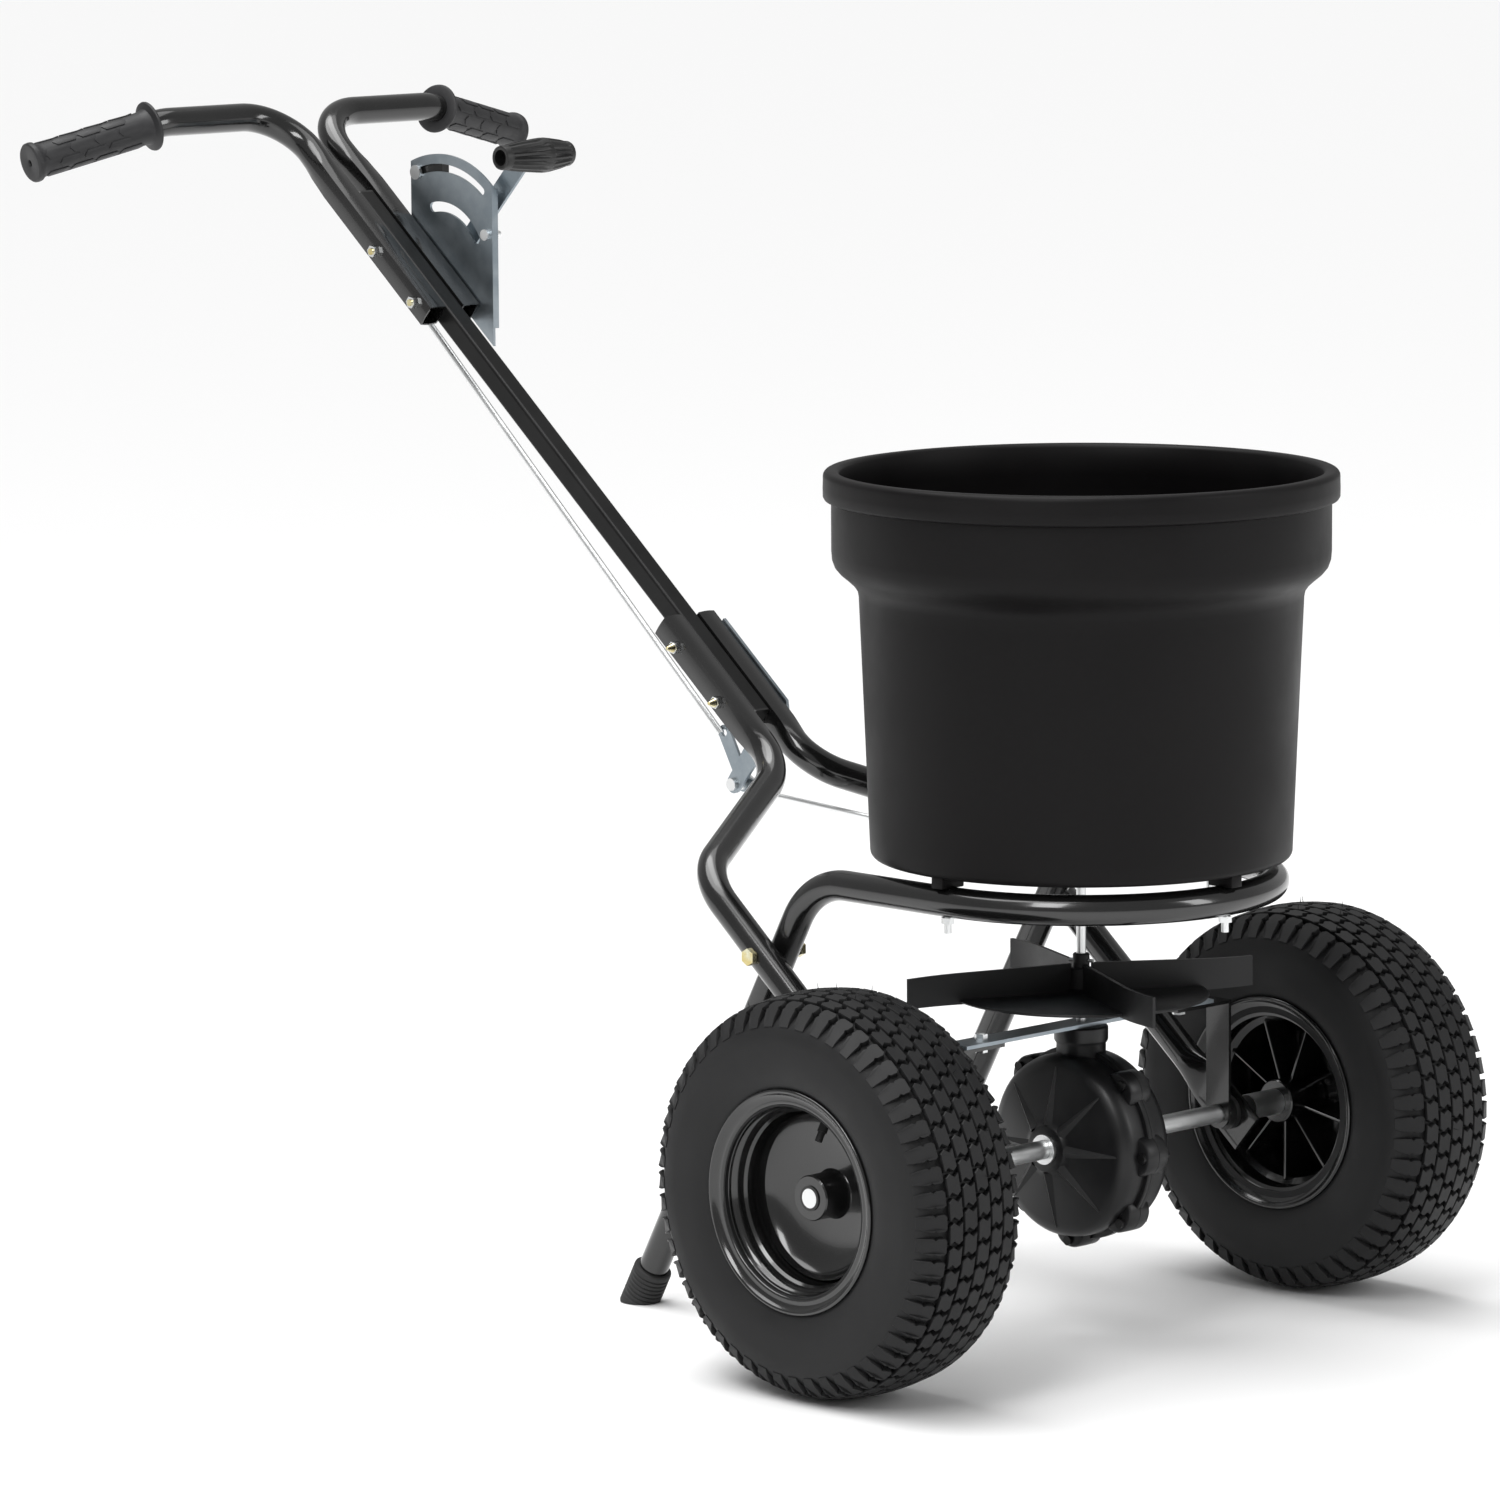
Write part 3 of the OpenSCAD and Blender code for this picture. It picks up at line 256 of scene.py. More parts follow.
def turned(name, outline, sides):
    """A round piece about Z: a circle that is extruded and resized through (radius, height) in mm."""
    r, z = (v / 1000 for v in outline[0])
    bpy.ops.mesh.primitive_circle_add(vertices=sides, radius=r, location=(0, 0, z))
    bpy.ops.object.transform_apply(location=True)
    piece = bpy.context.object
    piece.name = name
    bpy.ops.object.mode_set(mode="EDIT")
    bpy.ops.mesh.select_all(action="SELECT")
    for r2, z2 in outline[1:] + outline[:1]:
        r2, z2 = r2 / 1000, z2 / 1000
        bpy.ops.mesh.extrude_edges_move(TRANSFORM_OT_translate={"value": (0, 0, z2 - z)})
        bpy.ops.transform.resize(value=(r2 / r, r2 / r, 1), center_override=(0, 0, z2))
        r, z = r2, z2
    bpy.ops.mesh.select_all(action="SELECT")
    bpy.ops.mesh.remove_doubles(threshold=0.00002)
    bpy.ops.mesh.normals_make_consistent(inside=False)
    bpy.ops.object.mode_set(mode="OBJECT")
    return piece


def settle(piece, material, body, *nodes, place=None, angle=35, slot=None):
    """Puts the piece in its place, with its mesh holding the place, and ties it to its body."""
    pick(piece)
    if place is not None:
        piece.data.transform(place)
        if place.determinant() < 0:
            piece.data.flip_normals()
    bpy.ops.object.shade_smooth_by_angle(angle=math.radians(angle))
    piece.data.materials.clear()
    piece.data.materials.append(material)
    if nodes:
        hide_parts(*nodes)
    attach(piece, body)
    piece.select_set(False)


def join(pieces, name):
    """Joins pieces into the first one."""
    pick(pieces[0])
    for piece in pieces[1:]:
        piece.select_set(True)
    bpy.ops.object.join()
    pieces[0].name = name
    return pieces[0]


def arc(cx, cz, r, start, end, steps):
    """Points on an arc for an outline, in mm, from one angle to another."""
    return [(cx + r * math.cos(math.radians(start + (end - start) * k / steps)),
             cz + r * math.sin(math.radians(start + (end - start) * k / steps))) for k in range(steps + 1)]


def boxed(place, size, softening, segments):
    """A box with softened edges, in metres."""
    bpy.ops.mesh.primitive_cube_add(size=1, location=place)
    box = bpy.context.object
    box.scale = size
    bpy.ops.object.transform_apply(location=True, rotation=False, scale=True)
    bpy.ops.object.mode_set(mode="EDIT")
    bpy.ops.mesh.select_all(action="SELECT")
    bpy.ops.mesh.bevel(offset=softening, segments=segments)
    bpy.ops.object.mode_set(mode="OBJECT")
    return box


def facing(place, way):
    """The matrix that puts a piece drawn about Z at a place, with its Z turned a given way."""
    return Matrix.Translation(place) @ way.to_track_quat("Z", "Y").to_matrix().to_4x4()


def copy_of(piece, name):
    """A copy of a piece with its own mesh."""
    twin = piece.copy()
    twin.data = piece.data.copy()
    twin.name = name
    bpy.context.collection.objects.link(twin)
    return twin


def mirrored(piece, name):
    """A copy of a piece on the other side of the middle plane."""
    twin = copy_of(piece, name)
    twin.data.transform(mirror_x)
    twin.data.flip_normals()
    return twin


# ---------------------------------------------------------------------------
# Hopper: one rotationally moulded tub in black polyethylene. It widens at a
# rounded step, and its rim is folded over into a deep band. Three feet under
# the floor stand on the support ring, and three ports let the contents out.
# ---------------------------------------------------------------------------
tub_skin = finish("tub_plastic", (0.0038, 0.0034, 0.0036), (0.0055, 0.0050, 0.0052),
                  (0.42, 0.54), 1100, 7, 0.03, specular=0.13)
outer = ([(8.2, 406)] + arc(167.8, 412.2, 6.2, -90, -4, 5)
         + [(174.5, 424), (177.5, 500), (180.6, 575), (182.2, 612), (182.6, 622), (183.6, 627), (187, 632),
            (192.5, 637), (198, 641.5), (202.2, 646.5), (204.4, 652.5), (205, 660), (205, 690), (205, 700.5),
            (206.5, 701.5), (208.6, 701.7), (210.6, 702.6), (211.7, 704.6), (211.8, 712), (211.6, 718)]
         + arc(206.8, 721.2, 4.8, 0, 90, 5) + arc(202.6, 721.6, 4.4, 90, 165, 5))
inner = [(197.9, 714), (197.6, 700), (202, 690), (202, 660), (201.4, 653.5), (199.6, 648.6), (196, 644.6),
         (190.6, 640), (185, 635), (181.2, 629.6), (179.9, 622), (179.4, 612), (177.6, 575), (174.5, 500),
         (171.4, 424)] + arc(165.8, 416, 5, -5, -90, 5) + [(8.2, 411)]
tub = turned("hopper_tub", outer + inner, 144)
for x in (-0.034, 0, 0.034):
    bpy.ops.mesh.primitive_cylinder_add(vertices=32, radius=0.0075, depth=0.03, location=(x, 0.038, 0.408))
    port = bpy.context.object
    port.scale = (1, 1.13, 1)
    bpy.ops.object.transform_apply(location=True, rotation=False, scale=True)
    pick(tub)
    opening = tub.modifiers.new("port", "BOOLEAN")
    opening.operation, opening.solver, opening.object = "DIFFERENCE", "EXACT", port
    bpy.ops.object.modifier_apply(modifier="port")
    bpy.data.objects.remove(port)
feet = []
for turn in (0, -90, 180):
    foot = boxed((ring_radius, 0, 0.4026), (0.026, 0.0125, 0.0098), 0.0012, 2)
    foot.data.transform(Matrix.Rotation(math.radians(turn), 4, "Z"))
    feet.append(foot)
tub = join([tub] + feet, "hopper_tub")
settle(tub, tub_skin, "frame", "hopper", place=Matrix.Translation((0, axle_y, 0)), slot="hopper_plastic")


# ---------------------------------------------------------------------------
# Impeller: a moulded disc with four tall fins on a stepped hub. The fins reach
# well past the disc and sweep round a little at their outer ends.
# ---------------------------------------------------------------------------
disc = turned("impeller_disc", [
    (4.3, 273), (9.4, 273), (9.4, 284), (14, 288), (103, 288), (105.4, 288.6), (106, 289.6), (105.4, 290.8),
    (103, 291.2), (16, 291.2), (10, 295), (9.6, 311), (8.8, 312), (7, 312.4), (7, 323), (6.2, 324), (4.3,
    324)], 96)
fin_root, fin_sweep = Vector((0.009, 0, 0.3015)), math.radians(4)
fins = []
for k in range(4):
    bpy.ops.mesh.primitive_plane_add(size=1)
    fin = bpy.context.object
    fin.data.transform(Matrix.Translation(fin_root) @ Matrix.Rotation(math.radians(90), 4, "Y")
                       @ Matrix.Diagonal((0.029, 0.0030, 1, 1)))
    bpy.ops.object.mode_set(mode="EDIT")
    bpy.ops.mesh.select_all(action="SELECT")
    heading, tip = 0.0, fin_root.copy()
    for step in range(12):
        move = Vector((math.cos(heading), math.sin(heading), 0)) * (0.0124 if step < 8 else 0.0115)
        bpy.ops.mesh.extrude_region_move(TRANSFORM_OT_translate={"value": tuple(move)})
        tip = tip + move
        if step >= 7:
            bpy.ops.transform.rotate(value=-fin_sweep, orient_axis="Z", center_override=tuple(tip))
            heading += fin_sweep
    bpy.ops.mesh.select_all(action="SELECT")
    bpy.ops.mesh.normals_make_consistent(inside=False)
    bpy.ops.object.mode_set(mode="OBJECT")
    for vertex in fin.data.vertices:
        out = math.hypot(vertex.co.x, vertex.co.y)
        if vertex.co.z > fin_root.z:
            vertex.co.z -= 0.004 * min(1, out / 0.15)
    fin.data.transform(Matrix.Rotation(math.radians(-27.6 + 90 * k), 4, "Z"))
    fins.append(fin)
impeller = join([disc] + fins, "impeller_finned")
settle(impeller, gear_plastic, "impeller", "impeller", place=Matrix.Translation((0, axle_y, 0)),
    slot="gear_plastic")


# ---------------------------------------------------------------------------
# Gearbox: two moulded halves that meet on the axle's middle, with a bolted lobe
# at every screw, a star of ribs round the axle and a tower for the impeller's shaft.
# ---------------------------------------------------------------------------
half_case = turned("gearbox_case", [
    (81, 0.2), (81, 3.2), (80.2, 4), (77, 4.4), (76.8, 17), (75.2, 23.5), (71, 28), (64, 30.8), (26, 39.6),
    (22, 40.6),
    (20, 42.8), (18.4, 43.8), (9, 43.8), (8.3, 43.1), (8.3, 40), (20, 38), (62, 28), (69, 25.4), (73.4, 20.5),
    (74.6, 14), (74.6, 0.2)], 96)
half_parts = [half_case]
for k in range(8):
    bpy.ops.mesh.primitive_cone_add(vertices=4, radius1=1, radius2=0.12, depth=1)
    rib = bpy.context.object
    rib.data.transform(Matrix.Rotation(math.radians(45 * k), 4, "Z") @ Matrix.Translation((0.0435, 0, 0.0352))
                       @ Matrix.Rotation(math.radians(12), 4, "Y") @ Matrix.Diagonal((0.049, 0.0062, 0.0046, 1))
                       @ Matrix.Rotation(math.radians(90), 4, "Y"))
    half_parts.append(rib)
for k in range(7):
    lobe = turned("lobe", [(0.4, 0.2), (14.6, 0.2), (14.4, 9.8), (13.4, 12), (11.6, 13), (0.4, 13)], 36)
    lobe.data.transform(Matrix.Rotation(math.radians(46 + 45 * k), 4, "Z") @ Matrix.Translation((0.0733, 0, 0))
                        @ Matrix.Scale(1.15, 4, (0, 1, 0)))
    half_parts.append(lobe)
half_case = join(half_parts, "gearbox_case")
half_case.data.transform(Matrix(((0, 0, 1, 0), (0, -1, 0, 0), (1, 0, 0, 0), (0, 0, 0, 1))))
other_half = mirrored(half_case, "gearbox_other_half")
tower = turned("gearbox_tower", [
    (20.6, 62), (20.6, 84), (22, 86), (22.5, 87.4), (22.5, 97.6), (21.6, 98.8), (20.6, 99), (4.4, 99), (4.4,
    92),
    (16, 90), (16, 62)], 64)
gearbox = join([half_case, other_half, tower], "gearbox_casing")
settle(gearbox, box_plastic, "frame", "gearbox_right", "gearbox_left",
       place=Matrix.Translation(axle_point), slot="gearbox_plastic")


# ---------------------------------------------------------------------------
# Tyres: black turf tyres. Staggered six-sided blocks cover the crown, and
# notched lugs run over the shoulders; the side walls are plain. A few mould
# hairs still stand on top.
# ---------------------------------------------------------------------------
tread_radius = 163
crown = [(165, 0), (164.4, 14), (163, 26), (161.4, 36), (158.6, 44), (155, 49.4), (150, 53), (145, 55),
         (138, 56.6), (124, 57.7)]
travel = [0.0]
for p, q in zip(crown, crown[1:]):
    travel.append(travel[-1] + math.hypot(q[0] - p[0], q[1] - p[1]))


def on_tread(t, v, h):
    """A point on the tread: t mm across from the middle, v mm round, and h from 0, the
    grooves' floor, to 1, the blocks' top."""
    side, t = (-1 if t < 0 else 1), abs(t)
    k = max(i for i in range(len(travel) - 1) if travel[i] <= t)
    f = (t - travel[k]) / (travel[k + 1] - travel[k])
    r = crown[k][0] + f * (crown[k + 1][0] - crown[k][0])
    u = crown[k][1] + f * (crown[k + 1][1] - crown[k][1])
    along = Vector((crown[k + 1][0] - crown[k][0], crown[k + 1][1] - crown[k][1])).normalized()
    depth = (1 - h) * min(5.4, max(0.0, (68 - t) * 0.36))
    r, u = r - along.y * depth, u + along.x * depth
    return Vector((r * math.cos(v / tread_radius), r * math.sin(v / tread_radius), u * side)) / 1000


tyre_rubber = finish("tyre_rubber", (0.006, 0.006, 0.0064), (0.010, 0.010, 0.0104),
                     (0.5, 0.66), 1300, 18, 0.05, specular=0.3)
pitches = 52
pitch = 2 * math.pi * tread_radius / pitches


def lug(name, corners, taper):
    """One raised block, drawn as (across, round) corners in mm and lifted, with its top drawn in."""
    bpy.ops.mesh.primitive_circle_add(vertices=len(corners), radius=1, fill_type="NGON")
    piece = bpy.context.object
    piece.name = name
    for vertex, (t, v) in zip(piece.data.vertices, corners):
        vertex.co = (t, v, -0.25)
    bpy.ops.object.mode_set(mode="EDIT")
    bpy.ops.mesh.select_all(action="SELECT")
    bpy.ops.mesh.extrude_region_move(TRANSFORM_OT_translate={"value": (0, 0, 1.12)})
    bpy.ops.mesh.extrude_region_move(TRANSFORM_OT_translate={"value": (0, 0, 0.13)})
    bpy.ops.transform.resize(value=(taper, taper, 1))
    bpy.ops.mesh.select_all(action="SELECT")
    bpy.ops.mesh.normals_make_consistent(inside=False)
    bpy.ops.object.mode_set(mode="OBJECT")
    return piece


def spread_over(piece, places, mapped, name):
    """Copies one block to many places on a curved surface, as one mesh."""
    corners, faces = [], []
    for t, v, flip in places:
        start = len(corners)
        corners += [mapped(t + flip * c.co.x, v + c.co.y, c.co.z) for c in piece.data.vertices]
        faces += [[start + i for i in (f.vertices if flip > 0 else reversed(f.vertices))]
                  for f in piece.data.polygons]
    bpy.data.objects.remove(piece)
    mesh = bpy.data.meshes.new(name)
    mesh.from_pydata(corners, [], faces)
    spread_piece = bpy.data.objects.new(name, mesh)
    bpy.context.collection.objects.link(spread_piece)
    return spread_piece


block = lug("block", [(-6.5, -9.2), (-2.3, -6.0), (2.3, -9.2), (6.5, -6.0), (6.5, 9.2), (2.3, 6.0),
                      (-2.3, 9.2), (-6.5, 6.0)], 0.93)
rows = [(t * 14.9, (k + (0.5 if t % 2 else 0)) * pitch, 1) for t in (-2, -1, 0, 1, 2) for k in range(pitches)]
blocks = spread_over(block, rows, on_tread, "tread_blocks")
shoulder = lug("shoulder", [(-5.8, -5.2), (-3.4, -7.3), (2.2, -7.3), (4.2, -5.7), (6.4, -7.3), (15.5, -6.4),
                            (22, -5.2), (22, 5.2), (15.5, 6.4), (6.4, 7.3), (4.2, 5.7), (2.2, 7.3),
                            (-3.4, 7.3), (-5.8, 5.2)], 0.95)
rows = [(44.2 * s, (k + 0.5) * pitch, s) for s in (-1, 1) for k in range(pitches)]
shoulders = spread_over(shoulder, rows, on_tread, "tread_shoulders")

walls = []
for side in (1, -1):
    walls.append([(105, 56.5 * side), (95, 54.4 * side), (91.9, 52.6 * side), (88.5, 50.4 * side),
                  (77, 50.2 * side)])
over = [(1000 * math.hypot(p.x, p.y), 1000 * p.z) for p in
        (on_tread(t, 0, 0) for t in (-80, -68, -62, -56, -50, -44, -36, -26, -14, 0, 14, 26, 36, 44, 50, 56,
                                     62, 68, 80))]
carcass = turned("carcass", walls[1][::-1] + [(112, -57.2)] + over + [(112, 57.2)] + walls[0], 156)
hairs = []
for k in range(26):
    turn, t = math.radians(20 + 6.1 * k), ((k * 37) % 60) - 30
    spot = on_tread(t, tread_radius * turn, 1)
    bpy.ops.mesh.primitive_cone_add(vertices=5, radius1=0.0004, radius2=0.00015, depth=0.0052)
    hair = bpy.context.object
    outwards = Vector((spot.x, spot.y, 0.15 * spot.z)).normalized()
    hair.data.transform(facing(spot + outwards * 0.0022, outwards))
    hairs.append(hair)
tyre = join([carcass, blocks, shoulders] + hairs, "tyre_left")


def on_axle(side, turn=0.0):
    """The place of a wheel's piece, drawn about Z with its outer side up, on the left, 1, or right, -1."""
    stand = Matrix.Translation((side * wheel_x, axle_y, axle_z))
    return (stand @ Matrix.Scale(side, 4, (1, 0, 0)) @ Matrix.Rotation(math.radians(90), 4, "Y")
            @ Matrix.Rotation(math.radians(turn), 4, "Z"))


tyre_two = copy_of(tyre, "tyre_right")
settle(tyre, tyre_rubber, "drive_axle", "tyre_left", place=on_axle(1, 100), slot="tyre")
settle(tyre_two, tyre_rubber, "right_wheel", "tyre_right", place=on_axle(-1, 85), slot="tyre")


# ---------------------------------------------------------------------------
# Rims: pressed steel, glossy black. A rolled lip and two rings lead into a
# deep dish with a long tube for a hub. Ribs stiffen the back of the dish.
# ---------------------------------------------------------------------------
rim_front = ([(91.4, 51.6), (91.6, 53.4)] + arc(89.6, 53.4, 2, 0, 150, 5) + [(86.6, 52.9), (84.6, 51.6), (82.8,
    51.2)]
             + arc(80.6, 49.2, 2.4, 70, 180, 4) + [(77.6, 46), (76.8, 43.5), (75.2, 41.6), (73.6, 40), (72.8,
                 36),
             (72, 27), (69.4, 18.6), (64.6, 12.4), (57.6, 8), (48, 5.4), (36, 4), (26, 3.6), (20.6, 3.8),
             (19.3, 5), (18.5, 7), (18.5, 28.8), (17.6, 30), (10.2, 30)])
rim_rear = [(10.2, -45), (17.5, -45), (18.5, -44), (18.5, -2), (20.5, 0.4), (36, 1), (48, 2.4), (56.4, 4.8),
            (62.4, 8.4), (66, 13), (67.4, 18), (67.6, 22), (66, -20), (68, -30), (73, -34), (74, -46.5), (81,
            -49.4),
            (84.6, -51.6), (86.6, -52.9)] + arc(89.6, -53.4, 2, 210, 360, 5) + [(91.4, -51.6), (86.6, -49.6),
            (77, -49.4), (76.6, -38), (70.6, -31), (70.6, 31), (76.6, 38), (76.6, 46), (79, 49.2), (86.6, 49.6)]
rim = turned("rim_left", rim_front + rim_rear, 112)
ribs = []
for k in range(9):
    rib = boxed((0.0435, 0, -0.016), (0.052, 0.0022, 0.034), 0.0005, 1)
    rib.data.transform(Matrix.Rotation(math.radians(40 * k), 4, "Z"))
    ribs.append(rib)
rim = join([rim] + ribs, "rim_left")
rim_two = copy_of(rim, "rim_right")
settle(rim, gloss_black, "drive_axle", "rim_left", place=on_axle(1), slot="rim_paint")
settle(rim_two, gloss_black, "right_wheel", "rim_right", place=on_axle(-1), slot="rim_paint")


# ---------------------------------------------------------------------------
# Frame tubes: one-inch steel tube, bent cold and painted glossy black. The
# lower pair ends in flattened lugs on the axle, and the support tube is one
# long hoop whose legs are the stand.
# ---------------------------------------------------------------------------
def drawn_tube(name, start, heading, moves):
    """A tube's skin. It runs straight for ("run", mm, steps) and turns for
    ("bend", towards, radius mm, degrees)."""
    start, heading = Vector(start), Vector(heading).normalized()
    bpy.ops.mesh.primitive_circle_add(vertices=40, radius=tube_radius)
    piece = bpy.context.object
    piece.name = name
    piece.data.transform(facing(start, heading))
    bpy.ops.object.mode_set(mode="EDIT")
    bpy.ops.mesh.select_all(action="SELECT")
    at = start
    for move in moves:
        if move[0] == "run":
            steps = move[2] if len(move) > 2 else 1
            step = heading * (move[1] / 1000 / steps)
            for _ in range(steps):
                bpy.ops.mesh.extrude_edges_move(TRANSFORM_OT_translate={"value": tuple(step)})
                at = at + step
        else:
            towards, bend_radius, angle = Vector(move[1]).normalized(), move[2] / 1000, math.radians(move[3])
            centre, axis = at + towards * bend_radius, towards.cross(heading)
            bpy.ops.mesh.spin(steps=max(4, round(move[3] / 4)), angle=angle, center=tuple(centre),
                axis=tuple(axis))
            turn = Quaternion(-axis, angle)
            at = centre + turn @ (at - centre)
            heading = turn @ heading
    bpy.ops.mesh.select_all(action="SELECT")
    bpy.ops.mesh.remove_doubles(threshold=0.00001)
    bpy.ops.mesh.normals_make_consistent(inside=False)
    bpy.ops.object.mode_set(mode="OBJECT")
    return piece


def walled(piece):
    """Gives a tube's skin its wall, inwards."""
    pick(piece)
    shell = piece.modifiers.new("wall", "SOLIDIFY")
    shell.thickness, shell.offset = tube_wall, -1
    bpy.ops.object.modifier_apply(modifier="wall")


slope = math.radians(40.1)
rise, fall = math.sin(slope), math.cos(slope)


def on_slope(x, s, n=0.0):
    """A point in the frame's sloping plane, in mm: across, up the slope from the axle, and off the plane."""
    return Vector((x, s * fall - n * rise, s * rise + n * fall)) / 1000 + axle_point


up_slope, off_slope = Vector((0, fall, rise)), Vector((0, -rise, fall))
lug_x, pole_side_x = 184.5, 17.3
frame_bend = 60


def slope_place(point):
    """The same three numbers, in mm, for a point in space."""
    local = point - axle_point
    return local.x * 1000, local.dot(up_slope) * 1000, local.dot(off_slope) * 1000


def pressed(x, n, share):
    """Where a point of the round tube beside the pole, in mm, goes when the tube is pressed flat-sided."""
    ring = Vector((x - pole_side_x, n)) / (1000 * tube_radius)
    ring = ring.lerp(ring / max(abs(ring.x), abs(ring.y), 1e-6), 0.72)
    return x + (19.9 + 10.2 * ring.x - x) * share, n + (11.2 * ring.y - n) * share


leg_lean = 28.67
leg, knee = math.radians(leg_lean), 90 - leg_lean
leg_length, leg_bend, hoop_side = 426, 65, 154
leg_way = Vector((0, math.sin(leg), -math.cos(leg)))
leg_end = Vector((ring_radius, axle_y + hoop_side / 1000, 0.386)) + leg_way * (leg_length / 1000)
bend_run = leg_bend * math.tan(math.radians(knee) / 2)
hoop = drawn_tube("support_hoop", leg_end, -leg_way, [
    ("run", leg_length - bend_run), ("bend", (0, -math.cos(leg), -math.sin(leg)), leg_bend, knee),
    ("run", hoop_side - bend_run), ("bend", (-1, 0, 0), 1000 * ring_radius, 180), ("run", hoop_side - bend_run),
    ("bend", (0, 0, -1), leg_bend, knee), ("run", leg_length - bend_run)])
walled(hoop)
settle(hoop, gloss_black, "frame", "support_tube", slot="tube_paint")

slant_start, slant_end, clamp_start, clamp_end = 337, 437, 482, 612
shift, climb = lug_x - pole_side_x, slant_end - slant_start
turn = math.degrees(math.atan2(shift, climb))
take = frame_bend * math.tan(math.radians(turn / 2))
side_in = (Vector((-climb, 0, 0)) - up_slope * shift).normalized()
lower = drawn_tube("lower_tube_left", on_slope(lug_x, -26.5), up_slope, [
    ("run", 26.5, 2), ("run", 28, 2), ("run", 36, 6), ("run", slant_start - take - 64),
    ("bend", (-1, 0, 0), frame_bend, turn), ("run", math.hypot(shift, climb) - 2 * take),
    ("bend", -side_in, frame_bend, turn), ("run", clamp_start - slant_end - take),
    ("run", clamp_end - clamp_start, 6)])
for vertex in lower.data.vertices:
    x, s, n = slope_place(vertex.co)
    press = min(1.0, max(0.0, (64 - s) / 36))
    press = press * press * (3 - 2 * press)
    ring = Vector((x - lug_x, n)) / (1000 * tube_radius)
    if press > 0 and x > 150:
        flat = Vector((lug_x + max(-1, min(1, ring.x * 1.4)) * 2, max(-1, min(1, ring.y * 1.12)) * 19.7))
        x, n = x + (flat.x - x) * press, n + (flat.y - n) * press
    if s > 452 and x < 40:
        x, n = pressed(x, n, min(1.0, (s - 452) / 34))
    vertex.co = on_slope(x, s, n)
walled(lower)
lower_two = copy_of(lower, "lower_tube_right")
settle(lower, gloss_black, "frame", "lower_tube_left", slot="tube_paint")
settle(lower_two, gloss_black, "frame", "lower_tube_right", place=mirror_x, slot="tube_paint")


# ---------------------------------------------------------------------------
# Handles: the same tube, bent out sideways and then drooping a little towards
# the hands. Their lower ends are flattened to hug the square pole.
# ---------------------------------------------------------------------------
droop_angle, elbow_bend, grip_length, clamp_top = 17.2, 50, 126, 1206
droop = math.radians(droop_angle)
droop_take = frame_bend * math.tan(droop / 2)
arm = drawn_tube("handle_left", on_slope(pole_side_x, 1000), up_slope, [
    ("run", 190, 8), ("run", 24, 2), ("bend", (1, 0, 0), elbow_bend, 90), ("run",
    142.7 - elbow_bend - droop_take),
    ("bend", tuple(-off_slope), frame_bend, droop_angle), ("run", grip_length - 4 - droop_take)])
for vertex in arm.data.vertices:
    x, s, n = slope_place(vertex.co)
    if s < clamp_top:
        x, n = pressed(x, n, min(1.0, (clamp_top - s) / 28))
        vertex.co = on_slope(x, s, n)
walled(arm)
arm_two = copy_of(arm, "handle_right")
settle(arm, gloss_black, "frame", "handle_left", slot="tube_paint")
settle(arm_two, gloss_black, "frame", "handle_right", place=mirror_x, slot="tube_paint")


# ---------------------------------------------------------------------------
# Hand grips: moulded rubber sleeves with a wide thin collar and a rounded end.
# Rows of raised long six-sided pads cover the sleeve.
# ---------------------------------------------------------------------------
grip_rubber = finish("grip_rubber", (0.010, 0.010, 0.011), (0.016, 0.016, 0.0175),
                     (0.48, 0.6), 1500, 60, 0.02)
sleeve = turned("sleeve", [
    (12.8, 0), (20.6, 0), (22.2, 0.9), (22.5, 2), (22.0, 3.2), (19.6, 4.2), (16.6, 5.4), (15.4, 8), (15.1, 14),
    (15.1, 113), (15.4, 116), (16.6, 118.6), (17.7, 120), (18, 122), (17.7, 124.6), (16.4, grip_length),
    (4, grip_length), (3, 125.4), (2.6, 124), (12.8, 122)], 64)
pad = lug("pad", [(-12.4, 0), (-9, -4.5), (9, -4.5), (12.4, 0), (9, 4.5), (-9, 4.5)], 0.93)


pad_circle, pad_rows = 15.6, 9


def on_sleeve(t, v, h):
    """A point on the grip: t mm along, v mm round, and h mm up from the pads' feet."""
    r = 14.9 + 1.15 * h
    return Vector((r * math.cos(v / pad_circle), r * math.sin(v / pad_circle), t)) / 1000


around = 2 * math.pi * pad_circle / pad_rows
pads = spread_over(pad, [(28 + 25.2 * k - (12.6 if j % 2 else 0), around * j, 1)
                         for k in range(4) for j in range(pad_rows) if not (j % 2 and k == 0)],
                   on_sleeve, "pads")
grip = join([sleeve, pads], "grip_left")
grip_axis = (Vector((math.cos(droop), 0, 0)) - off_slope * math.sin(droop)).normalized()
grip_at = on_slope(160, 1264) + grip_axis * 0.011
grip_place = facing(grip_at, grip_axis)
grip_two = copy_of(grip, "grip_right")
settle(grip, grip_rubber, "frame", "grip_left", place=grip_place, slot="rubber")
settle(grip_two, grip_rubber, "frame", "grip_right", place=mirror_x @ grip_place, slot="rubber")


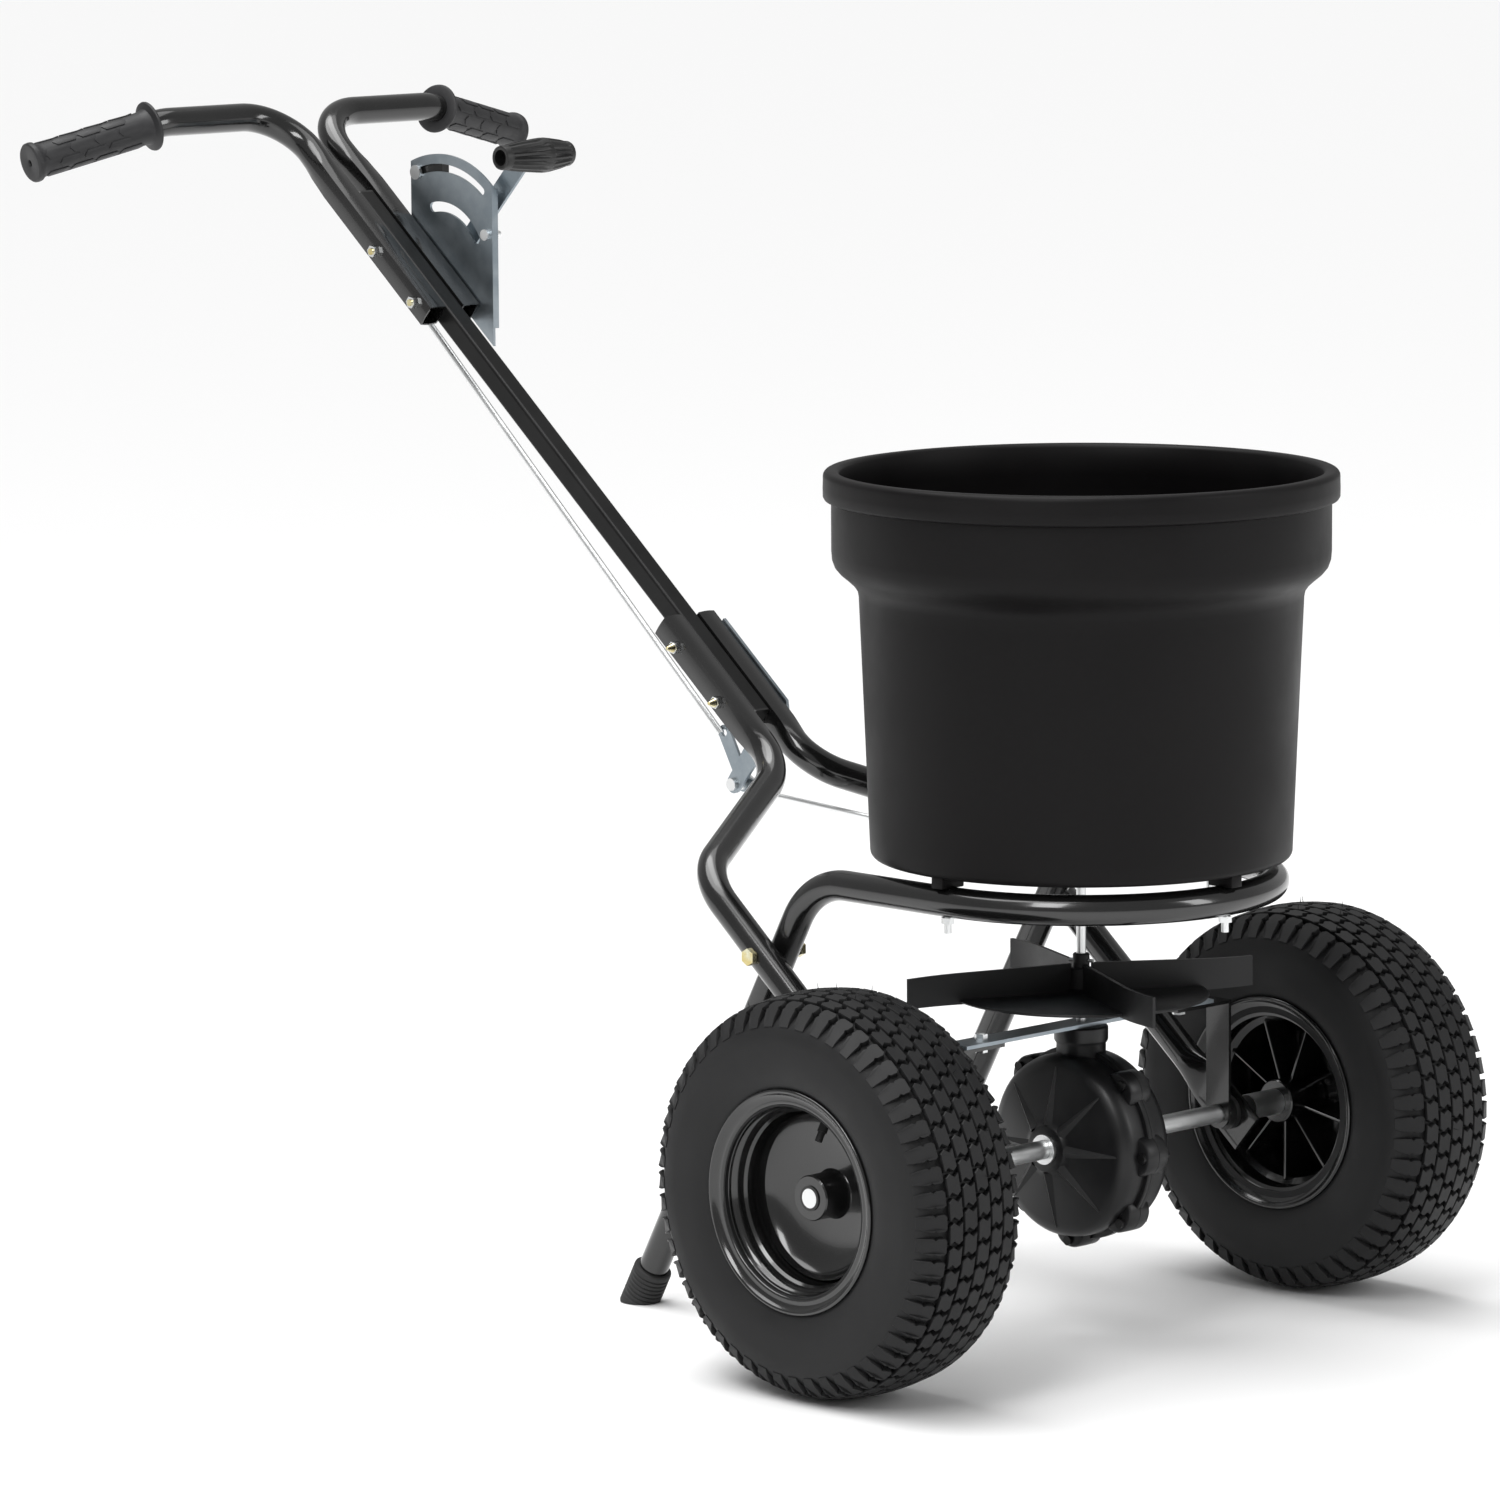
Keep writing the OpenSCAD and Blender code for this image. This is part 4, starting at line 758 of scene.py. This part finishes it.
# ---------------------------------------------------------------------------
# Flow lever's knob: a moulded double cone with deep grooves, hollow at its
# inner end, pushed over the end of the lever's bar.
# ---------------------------------------------------------------------------
pivot = on_slope(0, 1059) + Vector((0.0425, 0, 0))
lever_turn = math.radians(43.5)
lever_way = Vector((0, -math.sin(lever_turn), math.cos(lever_turn)))
knob = turned("knob", [
    (0.4, -16), (7, -16), (7.2, -27.6), (9.2, -28), (10.5, -27.4), (10.9, -26), (11.2, -21), (11.6, -18.6),
    (13.4, -6), (15.2, 14), (15.6, 20), (15.6, 25), (15.2, 29), (13.2, 42), (11.8, 48), (11.4, 50), (11.2, 53),
    (10.6, 54.3), (9.6, 54.5), (0.4, 54.4)], 96)
for vertex in knob.data.vertices:
    z, r = vertex.co.z * 1000, 1000 * math.hypot(vertex.co.x, vertex.co.y)
    k = round(math.degrees(math.atan2(vertex.co.y, vertex.co.x)) / 3.75) % 6
    if r > 8 and (-19 < z < 17 or 28 < z < 49) and k in (0, 1, 5):
        pull = 0.86 if k == 0 else 0.9
        vertex.co.x, vertex.co.y = vertex.co.x * pull, vertex.co.y * pull
knob_place = facing(pivot + lever_way * 0.141, Vector((1, 0, 0)))
settle(knob, black_nylon, "flow_lever", "lever_knob", place=knob_place, angle=30, slot="knob")


# ---------------------------------------------------------------------------
# Foot caps: ribbed rubber cups pushed onto the stand's legs, worn flat where
# they meet the ground.
# ---------------------------------------------------------------------------
cap_outline = [(12.75, -22), (15.4, -22), (16.3, -21)]
for k in range(7):
    cap_outline += [(16.5, -19.6 + 4 * k), (16.5, -17.6 + 4 * k), (15.5, -16.9 + 4 * k), (15.5, -16.3 + 4 * k)]
cap_outline += [(16.5, 9), (16.5, 18), (0.3, 18), (0.3, 0.3), (12.75, 0.3)]
foot_cap = turned("foot_cap_left", cap_outline, 56)
foot_cap.data.transform(facing(leg_end, leg_way))
pick(foot_cap)
bpy.ops.object.mode_set(mode="EDIT")
bpy.ops.mesh.select_all(action="SELECT")
bpy.ops.mesh.bisect(plane_co=(0, 0, 0.0001), plane_no=(0, 0, -1), clear_outer=True, use_fill=True)
bpy.ops.object.mode_set(mode="OBJECT")
foot_caps = join([foot_cap, mirrored(foot_cap, "foot_cap_right")], "foot_caps_ribbed")
settle(foot_caps, soft_rubber, "frame", "foot_caps", slot="rubber")
